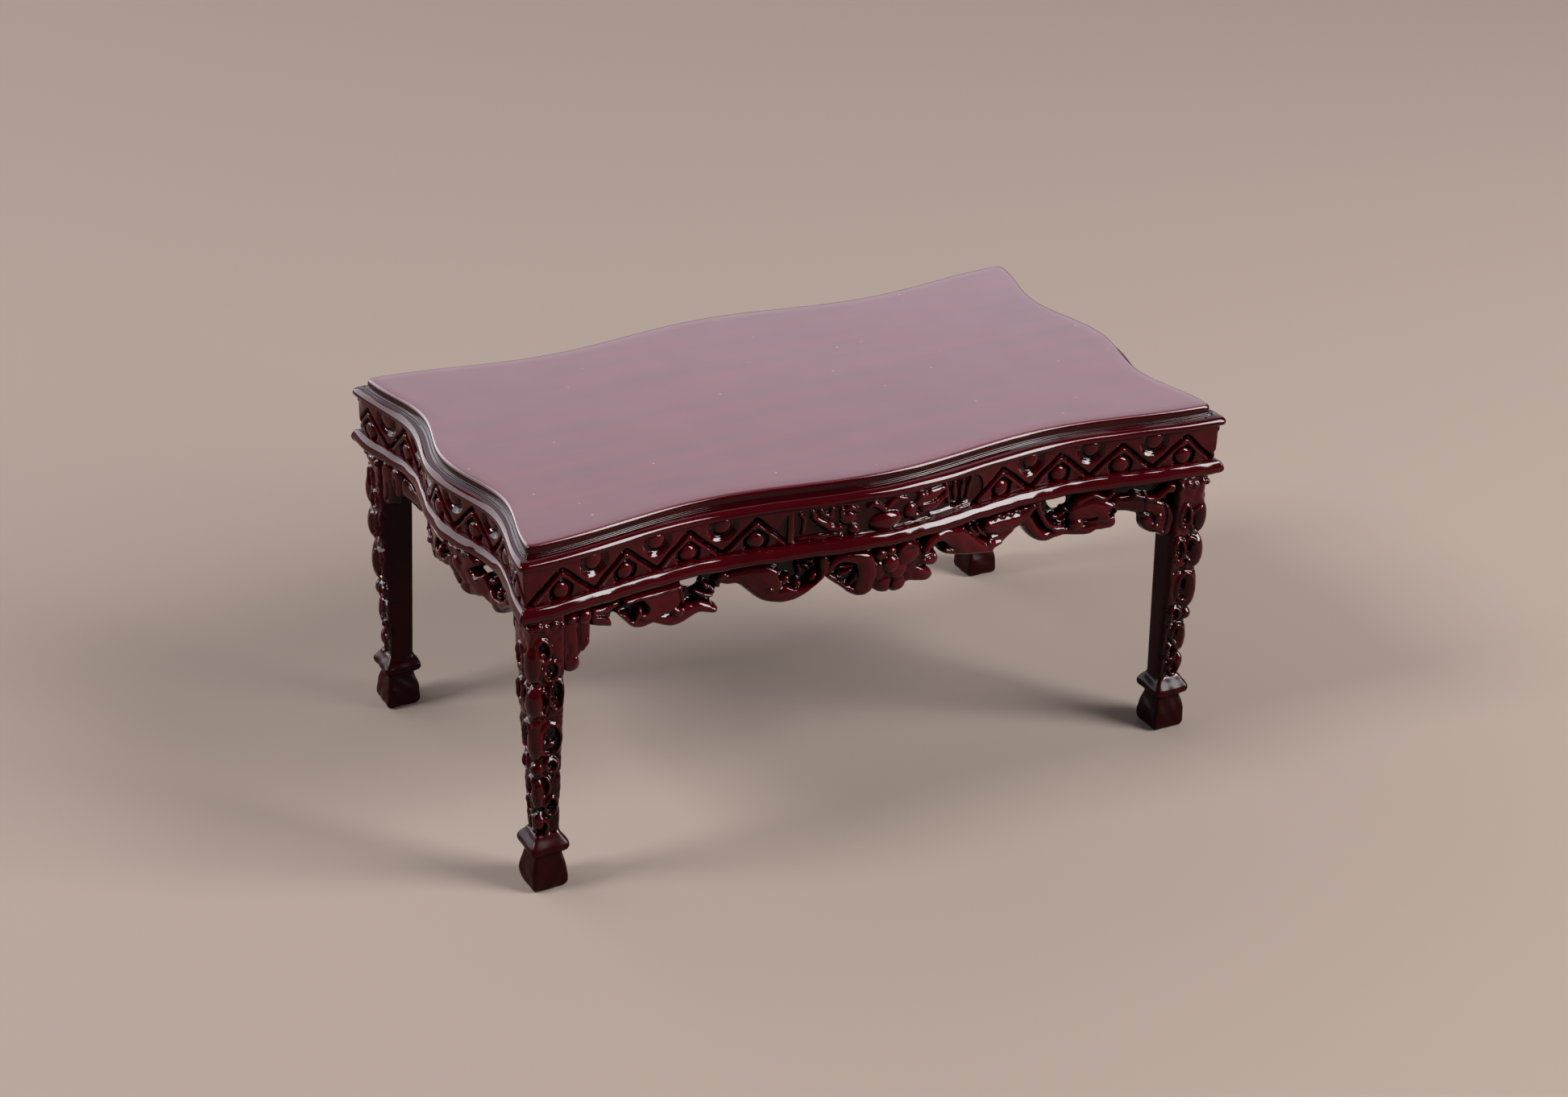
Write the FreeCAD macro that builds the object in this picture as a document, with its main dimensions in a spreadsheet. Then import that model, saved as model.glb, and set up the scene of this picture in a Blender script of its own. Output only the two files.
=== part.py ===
import FreeCAD, Part
import math
import os
import Sketcher

# A miniature carved table: a serpentine top on a frieze frame, a bead moulding under it,
# four carved skirts, four square tapered legs and a leaf bracket on each side of every leg.
# Millimetres. Origin on the floor under the middle of the table, +X along the long sides,
# -Y towards the front long side, +Z up.

SIZES = {
    # Plan of the top's upper slab, at its corners, and how far its sides wave in.
    "half_length": 38.27,
    "half_width": 20.94,
    "wave_long": 2.02,
    "wave_short": 1.83,
    # Heights of the horizontal planes, from the floor.
    "floor_to_top": 38.10,
    "slab_seat": 37.15,
    "frieze_top": 36.00,
    "bead_top": 32.00,
    "leg_shoulder": 30.40,
    # How far each course stands outside the slab's plan (negative is inside it).
    "lip_out": 1.30,
    "frieze_out": 0.85,
    "bead_out": 1.30,
    "skirt_out": 0.30,
    "rail_in": -1.00,
    # Rounding of the mouldings.
    "lip_round": 0.40,
    "slab_round": 0.25,
    "bead_round": 0.55,
    # Legs: centre in plan, then the half widths of the square sections.
    "leg_x": 36.45,
    "leg_y": 19.60,
    "foot_half": 1.85,
    "neck_half": 1.38,
    "collar_half": 2.08,
    "ankle_in": 1.40,
    "ankle_out": 1.20,
    "knee_in": 1.75,
    "knee_out": 2.05,
    "shoulder_out": 2.20,
    # Heights of those sections.
    "foot_edge": 0.35,
    "neck_level": 3.40,
    "collar_level": 4.20,
    "ankle_level": 6.10,
    "knee_level": 22.80,
    # Square stub on top of the leg, inside the corner of the frame.
    "stub_in": 1.50,
    "stub_out": 0.55,
    "stub_side_out": 0.05,
    # Leaf brackets between leg and skirt.
    "bracket_reach": 3.10,
    "bracket_drop": 7.20,
    "bracket_thick": 1.40,
    "bracket_face_long": 20.95,
    "bracket_face_short": 37.45,
    # Skirts.
    "skirt_drop": 7.00,
}

# Lower edge of a skirt as scallops, from the middle outwards:
# distance of the outer notch from the middle, the notch's drop below the bead, the scallop's sagitta.
LONG_SCALLOPS = [(6.7, 3.2, 2.9), (16.8, 2.9, 2.4), (28.8, 2.9, 2.6), (31.6, 2.9, 0.8)]
SHORT_SCALLOPS = [(4.6, 3.2, 2.6), (11.8, 2.9, 2.4), (14.75, 2.9, 0.8)]

SIDES = ("front", "right", "back", "left")
BULGE_LEFT = 1
BULGE_RIGHT = -1

# An edge counts as level within FLAT, and as part of a course within COURSE_TOLERANCE of its line.
FLAT = 1e-4
COURSE_TOLERANCE = 0.3

doc = FreeCAD.newDocument("miniature_table")
sheet = doc.addObject("Spreadsheet::Sheet", "sizes")
for row, (alias, value) in enumerate(SIZES.items(), start=1):
    sheet.set("A%d" % row, alias)
    sheet.set("B%d" % row, str(value))
    sheet.setAlias("B%d" % row, alias)
doc.recompute()


def bound(expression):
    """The expression with every size alias written as a cell of the sheet."""
    words = []
    word = ""
    for letter in expression + " ":
        if letter.isalpha() or letter == "_" or (word and letter.isdigit()):
            word += letter
            continue
        words.append("sizes." + word if word in SIZES else word)
        words.append(letter)
        word = ""
    return "".join(words).strip()


def value_of(expression):
    return float(sheet.evalExpression(expression))


# ---------------------------------------------------------------- bodies, sketches and features

def new_body(label):
    body = doc.addObject("PartDesign::Body", label)
    body.Label = label
    return body


def new_sketch(body, plane, name, lift=None):
    """A sketch on one of the body's own origin planes, lifted off it by an expression."""
    sketch = body.newObject("Sketcher::SketchObject", name)
    for feature in body.Origin.OriginFeatures:
        if feature.Role == plane:
            sketch.AttachmentSupport = [(feature, "")]
    sketch.MapMode = "FlatFace"
    if lift is not None:
        sketch.setExpression("AttachmentOffset.Base.z", bound(lift))
    return sketch


def edge_geometry(start, end, arc):
    """The edge from start to end, and which of its sketch ends (1 or 2) is the start."""
    if arc is None:
        return Part.LineSegment(start, end), 1
    radius, bulge = value_of(arc[0]), arc[1]
    chord = end - start
    half = chord.Length / 2
    to_left = FreeCAD.Vector(-chord.y, chord.x, 0) / chord.Length
    centre = start + chord / 2 - to_left * (bulge * math.sqrt(radius ** 2 - half ** 2))
    circle = Part.Circle(centre, FreeCAD.Vector(0, 0, 1), radius)
    first, last = (end, start) if bulge == BULGE_LEFT else (start, end)
    angles = [math.atan2(point.y - centre.y, point.x - centre.x) for point in (first, last)]
    if angles[1] < angles[0]:
        angles[1] += 2 * math.pi
    return Part.ArcOfCircle(circle, angles[0], angles[1]), 1 if first is start else 2


def draw_outline(sketch, points, arcs):
    """A closed outline. points are (x, y) expressions; arcs[i] is None for a straight edge from
    point i to the next, or (radius expression, side that the arc bulges to)."""
    places = [FreeCAD.Vector(value_of(x), value_of(y), 0) for x, y in points]
    starts = []
    for index, arc in enumerate(arcs):
        geometry, start = edge_geometry(places[index], places[(index + 1) % len(places)], arc)
        edge = sketch.addGeometry(geometry, False)
        starts.append((edge, start))
    for index, (edge, start) in enumerate(starts):
        previous, previous_start = starts[index - 1]
        previous_end = 3 - previous_start
        sketch.addConstraint(Sketcher.Constraint("Coincident", previous, previous_end, edge, start))
        for kind, expression in zip(("DistanceX", "DistanceY"), points[index]):
            constraint = Sketcher.Constraint(kind, -1, 1, edge, start, value_of(expression))
            number = sketch.addConstraint(constraint)
            sketch.setExpression("Constraints[%d]" % number, bound(expression))
        if arcs[index] is not None:
            radius = arcs[index][0]
            number = sketch.addConstraint(Sketcher.Constraint("Radius", edge, value_of(radius)))
            sketch.setExpression("Constraints[%d]" % number, bound(radius))


def add_pad(body, sketch, length, name):
    pad = body.newObject("PartDesign::Pad", name)
    pad.Profile = sketch
    pad.setExpression("Length", bound(length))
    sketch.Visibility = False
    return pad


def add_fillet(body, base, radius, levels, out, name):
    """Rounds the base feature's edges that run along the outside of a course at the given heights."""
    doc.recompute()
    names = []
    for number, edge in enumerate(base.Shape.Edges, start=1):
        if any(is_course_edge(edge, level, out) for level in levels):
            names.append("Edge%d" % number)
    fillet = body.newObject("PartDesign::Fillet", name)
    fillet.Base = (base, names)
    fillet.setExpression("Radius", bound(radius))
    return fillet


# ---------------------------------------------------------------- serpentine outlines

def turned(side, run, reach):
    """Point at run along a side, counterclockwise, and reach outwards, as (x, y) expressions."""
    return {
        "front": (run, "-(%s)" % reach),
        "right": (reach, run),
        "back": ("-(%s)" % run, reach),
        "left": ("-(%s)" % reach, "-(%s)" % run),
    }[side]


def side_sizes(side, out):
    """Half run, corner reach and wave of a side whose corners stand out from the slab's."""
    if side in ("front", "back"):
        return "(half_length + %s)" % out, "(half_width + %s)" % out, "wave_long"
    return "(half_width + %s)" % out, "(half_length + %s)" % out, "wave_short"


def serpentine(side, out):
    """Five arcs of one radius: flare, dip, bulge, dip and flare, from one corner to the next."""
    run, reach, wave = side_sizes(side, out)
    radius = "((%s / 4)^2 + (%s / 2)^2) / %s" % (run, wave, wave)
    halfway = "%s - %s / 2" % (reach, wave)
    points = [turned(side, "-" + run, reach)]
    for share in ("-0.75", "-0.25", "0.25", "0.75"):
        points.append(turned(side, "%s * %s" % (share, run), halfway))
    points.append(turned(side, run, reach))
    bulges = (BULGE_RIGHT, BULGE_LEFT, BULGE_RIGHT, BULGE_LEFT, BULGE_RIGHT)
    return points, [(radius, bulge) for bulge in bulges]


def draw_whole_plan(sketch, out):
    points = []
    arcs = []
    for side in SIDES:
        side_points, side_arcs = serpentine(side, out)
        points += side_points[:-1]
        arcs += side_arcs
    draw_outline(sketch, points, arcs)


def draw_rail_plan(sketch, side, out):
    """One mitred rail: serpentine outside and inside, with a straight mitre at each end."""
    outer_points, outer_arcs = serpentine(side, out)
    inner_points, inner_arcs = serpentine(side, "rail_in")
    back_arcs = [(radius, -bulge) for radius, bulge in reversed(inner_arcs)]
    draw_outline(sketch, outer_points + inner_points[::-1], outer_arcs + [None] + back_arcs + [None])


def is_course_edge(edge, level, out):
    """True for an edge at the given height that runs along the outside of a course."""
    if edge.BoundBox.ZLength > FLAT or abs(edge.BoundBox.ZMax - value_of(level)) > FLAT:
        return False
    middle = edge.valueAt((edge.FirstParameter + edge.LastParameter) / 2)
    for side, along, across in (("front", middle.x, middle.y), ("right", middle.y, middle.x)):
        run, reach, wave = [value_of(size) for size in side_sizes(side, out)]
        course = reach - wave * (1 - math.cos(2 * math.pi * along / run)) / 2
        if abs(abs(across) - course) < COURSE_TOLERANCE:
            return True
    return False


# ---------------------------------------------------------------- the pieces

def make_top():
    body = new_body("table_top")
    lip_plan = new_sketch(body, "XY_Plane", "lip_plan", "frieze_top")
    draw_whole_plan(lip_plan, "lip_out")
    lip = add_pad(body, lip_plan, "slab_seat - frieze_top", "lip")
    add_fillet(body, lip, "lip_round", ["slab_seat"], "lip_out", "lip_edge")
    doc.recompute()
    slab_plan = new_sketch(body, "XY_Plane", "slab_plan", "slab_seat")
    draw_whole_plan(slab_plan, "0")
    slab = add_pad(body, slab_plan, "floor_to_top - slab_seat", "slab")
    add_fillet(body, slab, "slab_round", ["floor_to_top"], "0", "slab_edge")
    return body


def make_frieze(side):
    body = new_body("frieze_" + side)
    plan = new_sketch(body, "XY_Plane", "frieze_plan_" + side, "bead_top")
    draw_rail_plan(plan, side, "frieze_out")
    add_pad(body, plan, "frieze_top - bead_top", "frieze_rail_" + side)
    return body


def make_bead(side):
    body = new_body("bead_" + side)
    plan = new_sketch(body, "XY_Plane", "bead_plan_" + side, "leg_shoulder")
    draw_rail_plan(plan, side, "bead_out")
    rail = add_pad(body, plan, "bead_top - leg_shoulder", "bead_rail_" + side)
    add_fillet(body, rail, "bead_round", ["leg_shoulder", "bead_top"], "bead_out", "bead_edge_" + side)
    return body


def draw_waste(sketch, scallops):
    """What is sawn off a skirt: everything beyond its ends and below its scalloped edge."""
    level = "leg_shoulder - %s"
    notches = [(-x, drop) for x, drop, sagitta in reversed(scallops)]
    notches += [(x, drop) for x, drop, sagitta in scallops]
    sagittas = [sagitta for x, drop, sagitta in reversed(scallops)]
    sagittas += [sagitta for x, drop, sagitta in scallops[1:]]
    end = scallops[-1][0]
    points = [("-%s" % end, "leg_shoulder + 1")]
    arcs = [None]
    for index, (x, drop) in enumerate(notches):
        points.append((str(x), level % drop))
        if index < len(sagittas):
            next_x, next_drop = notches[index + 1]
            chord = "((%s)^2 + (%s)^2)" % (next_x - x, next_drop - drop)
            sagitta = sagittas[index]
            arcs.append(("(%s / 4 + %s^2) / (2 * %s)" % (chord, sagitta, sagitta), BULGE_RIGHT))
    points += [(str(end), "leg_shoulder + 1"), ("half_length * 1.2", "leg_shoulder + 1")]
    points.append(("half_length * 1.2", level % "skirt_drop * 1.5"))
    points.append(("-half_length * 1.2", level % "skirt_drop * 1.5"))
    points.append(("-half_length * 1.2", "leg_shoulder + 1"))
    arcs += [None] * (len(points) - len(arcs))
    draw_outline(sketch, points, arcs)


def make_skirt(side):
    body = new_body("skirt_" + side)
    plan = new_sketch(body, "XY_Plane", "skirt_plan_" + side, "leg_shoulder - skirt_drop")
    draw_rail_plan(plan, side, "skirt_out")
    add_pad(body, plan, "skirt_drop", "skirt_board_" + side)
    long_side = side in ("front", "back")
    elevation = new_sketch(body, "XZ_Plane" if long_side else "YZ_Plane", "skirt_edge_" + side)
    draw_waste(elevation, LONG_SCALLOPS if long_side else SHORT_SCALLOPS)
    pocket = body.newObject("PartDesign::Pocket", "skirt_scallops_" + side)
    pocket.Profile = elevation
    pocket.Type = "ThroughAll"
    pocket.Midplane = True
    return body


LEG_SECTIONS = [
    # height, half width towards the middle of the table, half width outwards
    ("0", "foot_half", "foot_half"),
    ("foot_edge", "foot_half", "foot_half"),
    ("neck_level", "neck_half", "neck_half"),
    ("collar_level", "collar_half", "collar_half"),
    ("ankle_level", "ankle_in", "ankle_out"),
    ("knee_level", "knee_in", "knee_out"),
    ("leg_shoulder", "knee_in", "shoulder_out"),
]


def draw_leg_square(sketch, sign_x, sign_y, inner, outer_x, outer_y):
    """A square about the leg's centre that reaches inner towards the table's middle."""
    low_x, high_x = sorted([(-sign_x, inner), (sign_x, outer_x)])
    low_y, high_y = sorted([(-sign_y, inner), (sign_y, outer_y)])
    xs = ["%d * leg_x + (%d) * %s" % (sign_x, sign, size) for sign, size in (low_x, high_x)]
    ys = ["%d * leg_y + (%d) * %s" % (sign_y, sign, size) for sign, size in (low_y, high_y)]
    points = [(xs[0], ys[0]), (xs[1], ys[0]), (xs[1], ys[1]), (xs[0], ys[1])]
    draw_outline(sketch, points, [None] * 4)


def make_leg(name, sign_x, sign_y):
    body = new_body("leg_" + name)
    sketches = []
    for number, (level, inner, outer) in enumerate(LEG_SECTIONS):
        sketch = new_sketch(body, "XY_Plane", "leg_section_%s_%d" % (name, number), level)
        draw_leg_square(sketch, sign_x, sign_y, inner, outer, outer)
        sketches.append(sketch)
    doc.recompute()
    loft = body.newObject("PartDesign::AdditiveLoft", "leg_shaft_" + name)
    loft.Profile = sketches[0]
    loft.Sections = sketches[1:]
    loft.Ruled = True
    stub_plan = new_sketch(body, "XY_Plane", "leg_stub_plan_" + name, "leg_shoulder")
    draw_leg_square(stub_plan, sign_x, sign_y, "stub_in", "stub_out", "stub_side_out")
    add_pad(body, stub_plan, "frieze_top - leg_shoulder", "leg_stub_" + name)
    return body


def bracket_outline(face, direction):
    """Elevation of a leaf bracket: flat against the leg, three leaf lobes stepping up to the skirt.
    face is the leg's inner face and direction the way to the table's middle."""
    level = "leg_shoulder - bracket_drop * %s"
    across = face + (" + " if direction > 0 else " - ") + "bracket_reach * %s"
    points = [(across % 0, "leg_shoulder"), (across % 0, level % 1), (across % 0.42, level % 0.94),
              (across % 0.5, level % 0.72), (across % 0.9, level % 0.66), (across % 1, level % 0.42),
              (across % 1, "leg_shoulder")]
    lobe = (BULGE_RIGHT if direction > 0 else BULGE_LEFT)
    round_lobe = "bracket_reach * %s"
    arcs = [None, (round_lobe % 0.24, lobe), None, (round_lobe % 0.24, lobe), None, None, None]
    return points, arcs


def make_bracket(leg_name, sign_x, sign_y, along):
    """A leaf bracket beside a leg, along the long side ("x") or the short side ("y")."""
    body = new_body("bracket_%s_%s" % (leg_name, "long" if along == "x" else "short"))
    sign, centre = (sign_x, "leg_x") if along == "x" else (sign_y, "leg_y")
    face = "%d * (%s - knee_in)" % (sign, centre)
    plane = "XZ_Plane" if along == "x" else "YZ_Plane"
    elevation = new_sketch(body, plane, body.Label + "_outline")
    points, arcs = bracket_outline(face, -sign)
    draw_outline(elevation, points, arcs)
    pad = add_pad(body, elevation, "bracket_thick", body.Label + "_plate")
    pad.Midplane = True
    plate_middle = "%d * (bracket_face_%s - bracket_thick / 2)"
    if along == "x":
        body.setExpression("Placement.Base.y", bound(plate_middle % (sign_y, "long")))
    else:
        body.setExpression("Placement.Base.x", bound(plate_middle % (sign_x, "short")))
    return body


def make_all():
    pieces = [make_top()]
    for side in SIDES:
        pieces += [make_frieze(side), make_bead(side), make_skirt(side)]
    for name, sign_x, sign_y in (("front_left", -1, -1), ("front_right", 1, -1),
                                 ("back_left", -1, 1), ("back_right", 1, 1)):
        pieces.append(make_leg(name, sign_x, sign_y))
        pieces += [make_bracket(name, sign_x, sign_y, along) for along in ("x", "y")]
    return pieces


pieces = make_all()
doc.recompute()
for item in doc.Objects:
    if "Invalid" in item.State or "Error" in item.State:
        raise RuntimeError("%s failed: %s" % (item.Label, item.State))
for piece in pieces:
    if piece.Shape.isNull() or not piece.Shape.isValid() or len(piece.Shape.Solids) != 1:
        raise RuntimeError("%s is not one valid solid" % piece.Label)

os.makedirs("parts", exist_ok=True)
for piece in pieces:
    piece.Shape.exportStep("parts/%s.step" % piece.Label)
    box = piece.Shape.BoundBox
    print("%-28s %8.2f mm3  x %.2f..%.2f  y %.2f..%.2f  z %.2f..%.2f" % (
        piece.Label, piece.Shape.Volume, box.XMin, box.XMax, box.YMin, box.YMax, box.ZMin, box.ZMax))
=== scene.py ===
import math
from typing import NamedTuple

import bpy
import numpy as np
from mathutils import Euler, Matrix, Vector


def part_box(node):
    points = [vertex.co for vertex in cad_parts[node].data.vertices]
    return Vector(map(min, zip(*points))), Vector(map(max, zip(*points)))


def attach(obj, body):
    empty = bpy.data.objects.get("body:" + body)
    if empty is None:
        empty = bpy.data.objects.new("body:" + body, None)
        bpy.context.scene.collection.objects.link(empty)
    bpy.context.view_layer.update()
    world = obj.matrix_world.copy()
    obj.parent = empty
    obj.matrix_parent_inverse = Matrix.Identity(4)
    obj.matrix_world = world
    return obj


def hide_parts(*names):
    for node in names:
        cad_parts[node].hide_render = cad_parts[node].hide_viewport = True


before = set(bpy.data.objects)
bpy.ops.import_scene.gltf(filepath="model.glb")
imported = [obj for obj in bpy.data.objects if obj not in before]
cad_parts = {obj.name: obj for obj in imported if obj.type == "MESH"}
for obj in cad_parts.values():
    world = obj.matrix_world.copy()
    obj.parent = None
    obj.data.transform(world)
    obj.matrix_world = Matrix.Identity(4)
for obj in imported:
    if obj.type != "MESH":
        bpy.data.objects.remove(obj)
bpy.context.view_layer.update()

# The looks of a carved miniature low table in dark red lacquer. Sizes are in millimetres and
# become metres as each mesh is made. Each side of the table is drawn as a strip: s runs along
# the side, z is up, and d stands out from the side's wavy course.

MM = 0.001
VOXEL = 0.11  # the step of the grids that carvings are cut in
LOW, HIGH = 0, 1
X, Y, Z = 0, 1, 2


def limit(node, end, axis):
    """Where a CAD node ends along an axis, in millimetres."""
    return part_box(node)[end][axis] / MM


# ---- sizes from the frame

LIP_OUT = 1.3  # the lip, out from the slab's course
WAVE_LONG, WAVE_SHORT = 2.02, 1.83  # depth of the hollows in each side's course
HALF_LENGTH = limit("table_top", HIGH, X) - LIP_OUT
HALF_WIDTH = limit("table_top", HIGH, Y) - LIP_OUT
TOP_LEVEL = limit("table_top", HIGH, Z)

FRIEZE_TOP = limit("frieze_front", HIGH, Z)
BEAD_TOP = limit("frieze_front", LOW, Z)
BEAD_BOTTOM = limit("bead_front", LOW, Z)
RAIL_BACK = -1.0

LEG_OUT = 2.2  # half the width of a leg's top
LEG_X = limit("leg_back_right", HIGH, X) - LEG_OUT
LEG_Y = limit("leg_back_right", HIGH, Y) - LEG_OUT


# ---- the four sides

class Side(NamedTuple):
    """One side of the table, with the wavy course that its mouldings follow."""

    name: str
    turns: int  # quarter turns from the front
    half_run: float
    corner_reach: float
    wave: float

    @property
    def is_long(self):
        return self.half_run > self.corner_reach

    def reach(self, s, d):
        """How far the course stands from the table's middle, d out from the slab's course."""
        turn = 2 * np.pi * s / (self.half_run + d)
        return self.corner_reach + d - self.wave * (1 - np.cos(turn)) / 2

    def place(self, s, z, d):
        """Points of the strip in the table's own frame."""
        x, y = s, -self.reach(s, d)
        for _ in range(self.turns):
            x, y = -y, x
        return np.stack([x, y, z], -1)


LONG, SHORT = (HALF_LENGTH, HALF_WIDTH, WAVE_LONG), (HALF_WIDTH, HALF_LENGTH, WAVE_SHORT)
SIDES = [Side("front", 0, *LONG), Side("right", 1, *SHORT),
         Side("back", 2, *LONG), Side("left", 3, *SHORT)]


# ---- fields and meshes

def smooth_max(a, b, blend):
    """The larger of two fields, with the crease between them rounded."""
    share = np.clip(blend - np.abs(a - b), 0, None) / blend
    return np.maximum(a, b) + share * share * blend / 4


def smooth_min(a, b, blend):
    return -smooth_max(-a, -b, blend)


def ripple(seed, *axes, length=6.0, terms=5):
    """A smooth seeded wander of about one, with waves near the given length."""
    rng = np.random.default_rng(seed)
    total = 0
    for _ in range(terms):
        waves = rng.normal(size=len(axes)) * 2 * np.pi / length
        total = total + np.sin(sum(w * a for w, a in zip(waves, axes)) + rng.uniform(0, 2 * np.pi))
    return total / math.sqrt(terms)


def close_ends(field):
    """Keeps a sampled solid from running out through the end of its grid."""
    for axis in range(3):
        ends = np.moveaxis(field, axis, 0)
        ends[0] = np.maximum(ends[0], VOXEL / 2)
        ends[-1] = np.maximum(ends[-1], VOXEL / 2)


def skin(field, low):
    """The surface where a sampled field is zero, as points and quads, by surface nets."""
    cells = tuple(n - 1 for n in field.shape)
    total = np.zeros(cells + (3,), np.float32)
    count = np.zeros(cells, np.float32)
    crossings = []
    for axis in range(3):
        others = [k for k in range(3) if k != axis]
        moved = np.moveaxis(field, axis, 0)
        first, second = moved[:-1], moved[1:]
        crossed = (first < 0) != (second < 0)
        share = np.where(crossed, first / np.where(crossed, first - second, 1), 0)
        sums = np.moveaxis(total, axis, 0)
        counts = np.moveaxis(count, axis, 0)
        wide, deep = moved.shape[1] - 1, moved.shape[2] - 1
        for i in (0, 1):
            for j in (0, 1):
                part = (slice(None), slice(i, wide + i), slice(j, deep + j))
                counts += crossed[part]
                sums[..., axis] += share[part]
                sums[..., others[0]] += crossed[part] * i
                sums[..., others[1]] += crossed[part] * j
        crossings.append((crossed, first < 0))
    used = count > 0
    index = np.full(cells, -1, np.int64)
    index[used] = np.arange(used.sum())
    points = (np.argwhere(used) + total[used] / count[used][:, None]) * VOXEL + np.array(low)
    quads = []
    for axis, (crossed, starts_inside) in enumerate(crossings):
        moved = np.moveaxis(index, axis, 0)
        n, u, v = np.nonzero(crossed[:, 1:-1, 1:-1])
        around = np.stack([moved[n, u, v], moved[n, u + 1, v],
                           moved[n, u + 1, v + 1], moved[n, u, v + 1]], -1)
        flip = starts_inside[:, 1:-1, 1:-1][n, u, v] == (axis == 1)
        around[flip] = around[flip][:, ::-1]
        quads.append(around)
    return points, np.vstack(quads)


def add_object(name, data):
    thing = bpy.data.objects.new(name, data)
    bpy.context.scene.collection.objects.link(thing)
    return thing


def add_piece(name, points, faces, painted_shade, material, node):
    """A smooth mesh that stands for a CAD node. Its painted shade is 0 on crests and 1 in pits."""
    mesh = bpy.data.meshes.new(name)
    mesh.from_pydata((points * MM).tolist(), [], faces)
    mesh.shade_smooth()
    # painted shade for each point, which the lacquer turns into darker colour in pits and creases
    values = mesh.attributes.new("painted_shade", "FLOAT", "POINT")
    values.data.foreach_set("value", np.asarray(painted_shade, np.float32))
    mesh.materials.append(material)
    piece = add_object(name, mesh)
    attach(piece, "root")
    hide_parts(node)
    return piece


# ---- relief carving

CUT_SLOPE = 3.0  # how steeply carved walls fall
BLEND = 0.08  # rounding where strokes meet
HAND_DRIFT = 0.05  # how far hand cutting strays from the drawn lines
UNEVENNESS = 0.03  # of a hand-cut board's surface
GROOVE_SHADE_DEPTH = 0.5  # a groove this far below its surroundings is as dark as painted shade in grooves gets
SHADE_DEPTH = 1.7  # so is ground this far below the crests
BLUR_ROUNDS = 10  # the surroundings are the height, averaged over this many steps
REACH = 1.2  # how far beyond its radius a stroke is worked out


def curve(points, per_span=7):
    """A smooth line through given points."""
    p = np.asarray(points, float)
    if len(p) == 2:
        return p
    ends = np.vstack([2 * p[0] - p[1], p, 2 * p[-1] - p[-2]])
    t = np.linspace(0, 1, per_span, endpoint=False)[:, None]
    spans = []
    for a, b, c, d in zip(ends, ends[1:], ends[2:], ends[3:]):
        bend = (2 * a - 5 * b + 4 * c - d) * t ** 2 + (3 * b - a - 3 * c + d) * t ** 3
        spans.append((2 * b + (c - a) * t + bend) / 2)
    return np.vstack(spans + [p[-1:]])


def nearest(s, z, line):
    """Distance from each point to a line, and how far along it the nearest place is."""
    run = np.diff(line, axis=0)
    gap_s = s[..., None] - line[:-1, 0]
    gap_z = z[..., None] - line[:-1, 1]
    share = (gap_s * run[:, 0] + gap_z * run[:, 1]) / np.maximum((run ** 2).sum(1), 1e-9)
    share = np.clip(share, 0, 1)
    distance = np.hypot(gap_s - share * run[:, 0], gap_z - share * run[:, 1])
    best = distance.argmin(-1)[..., None]
    along = (best + np.take_along_axis(share, best, -1)) / len(run)
    return np.take_along_axis(distance, best, -1)[..., 0], along[..., 0]


def dome(q, radius):
    """How far a round crest has fallen at q radii from its middle."""
    fallen = 1 - np.sqrt(np.clip(1 - q * q, 0, 1))
    return fallen, CUT_SLOPE * radius * np.clip(q - 1, 0, None)


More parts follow.
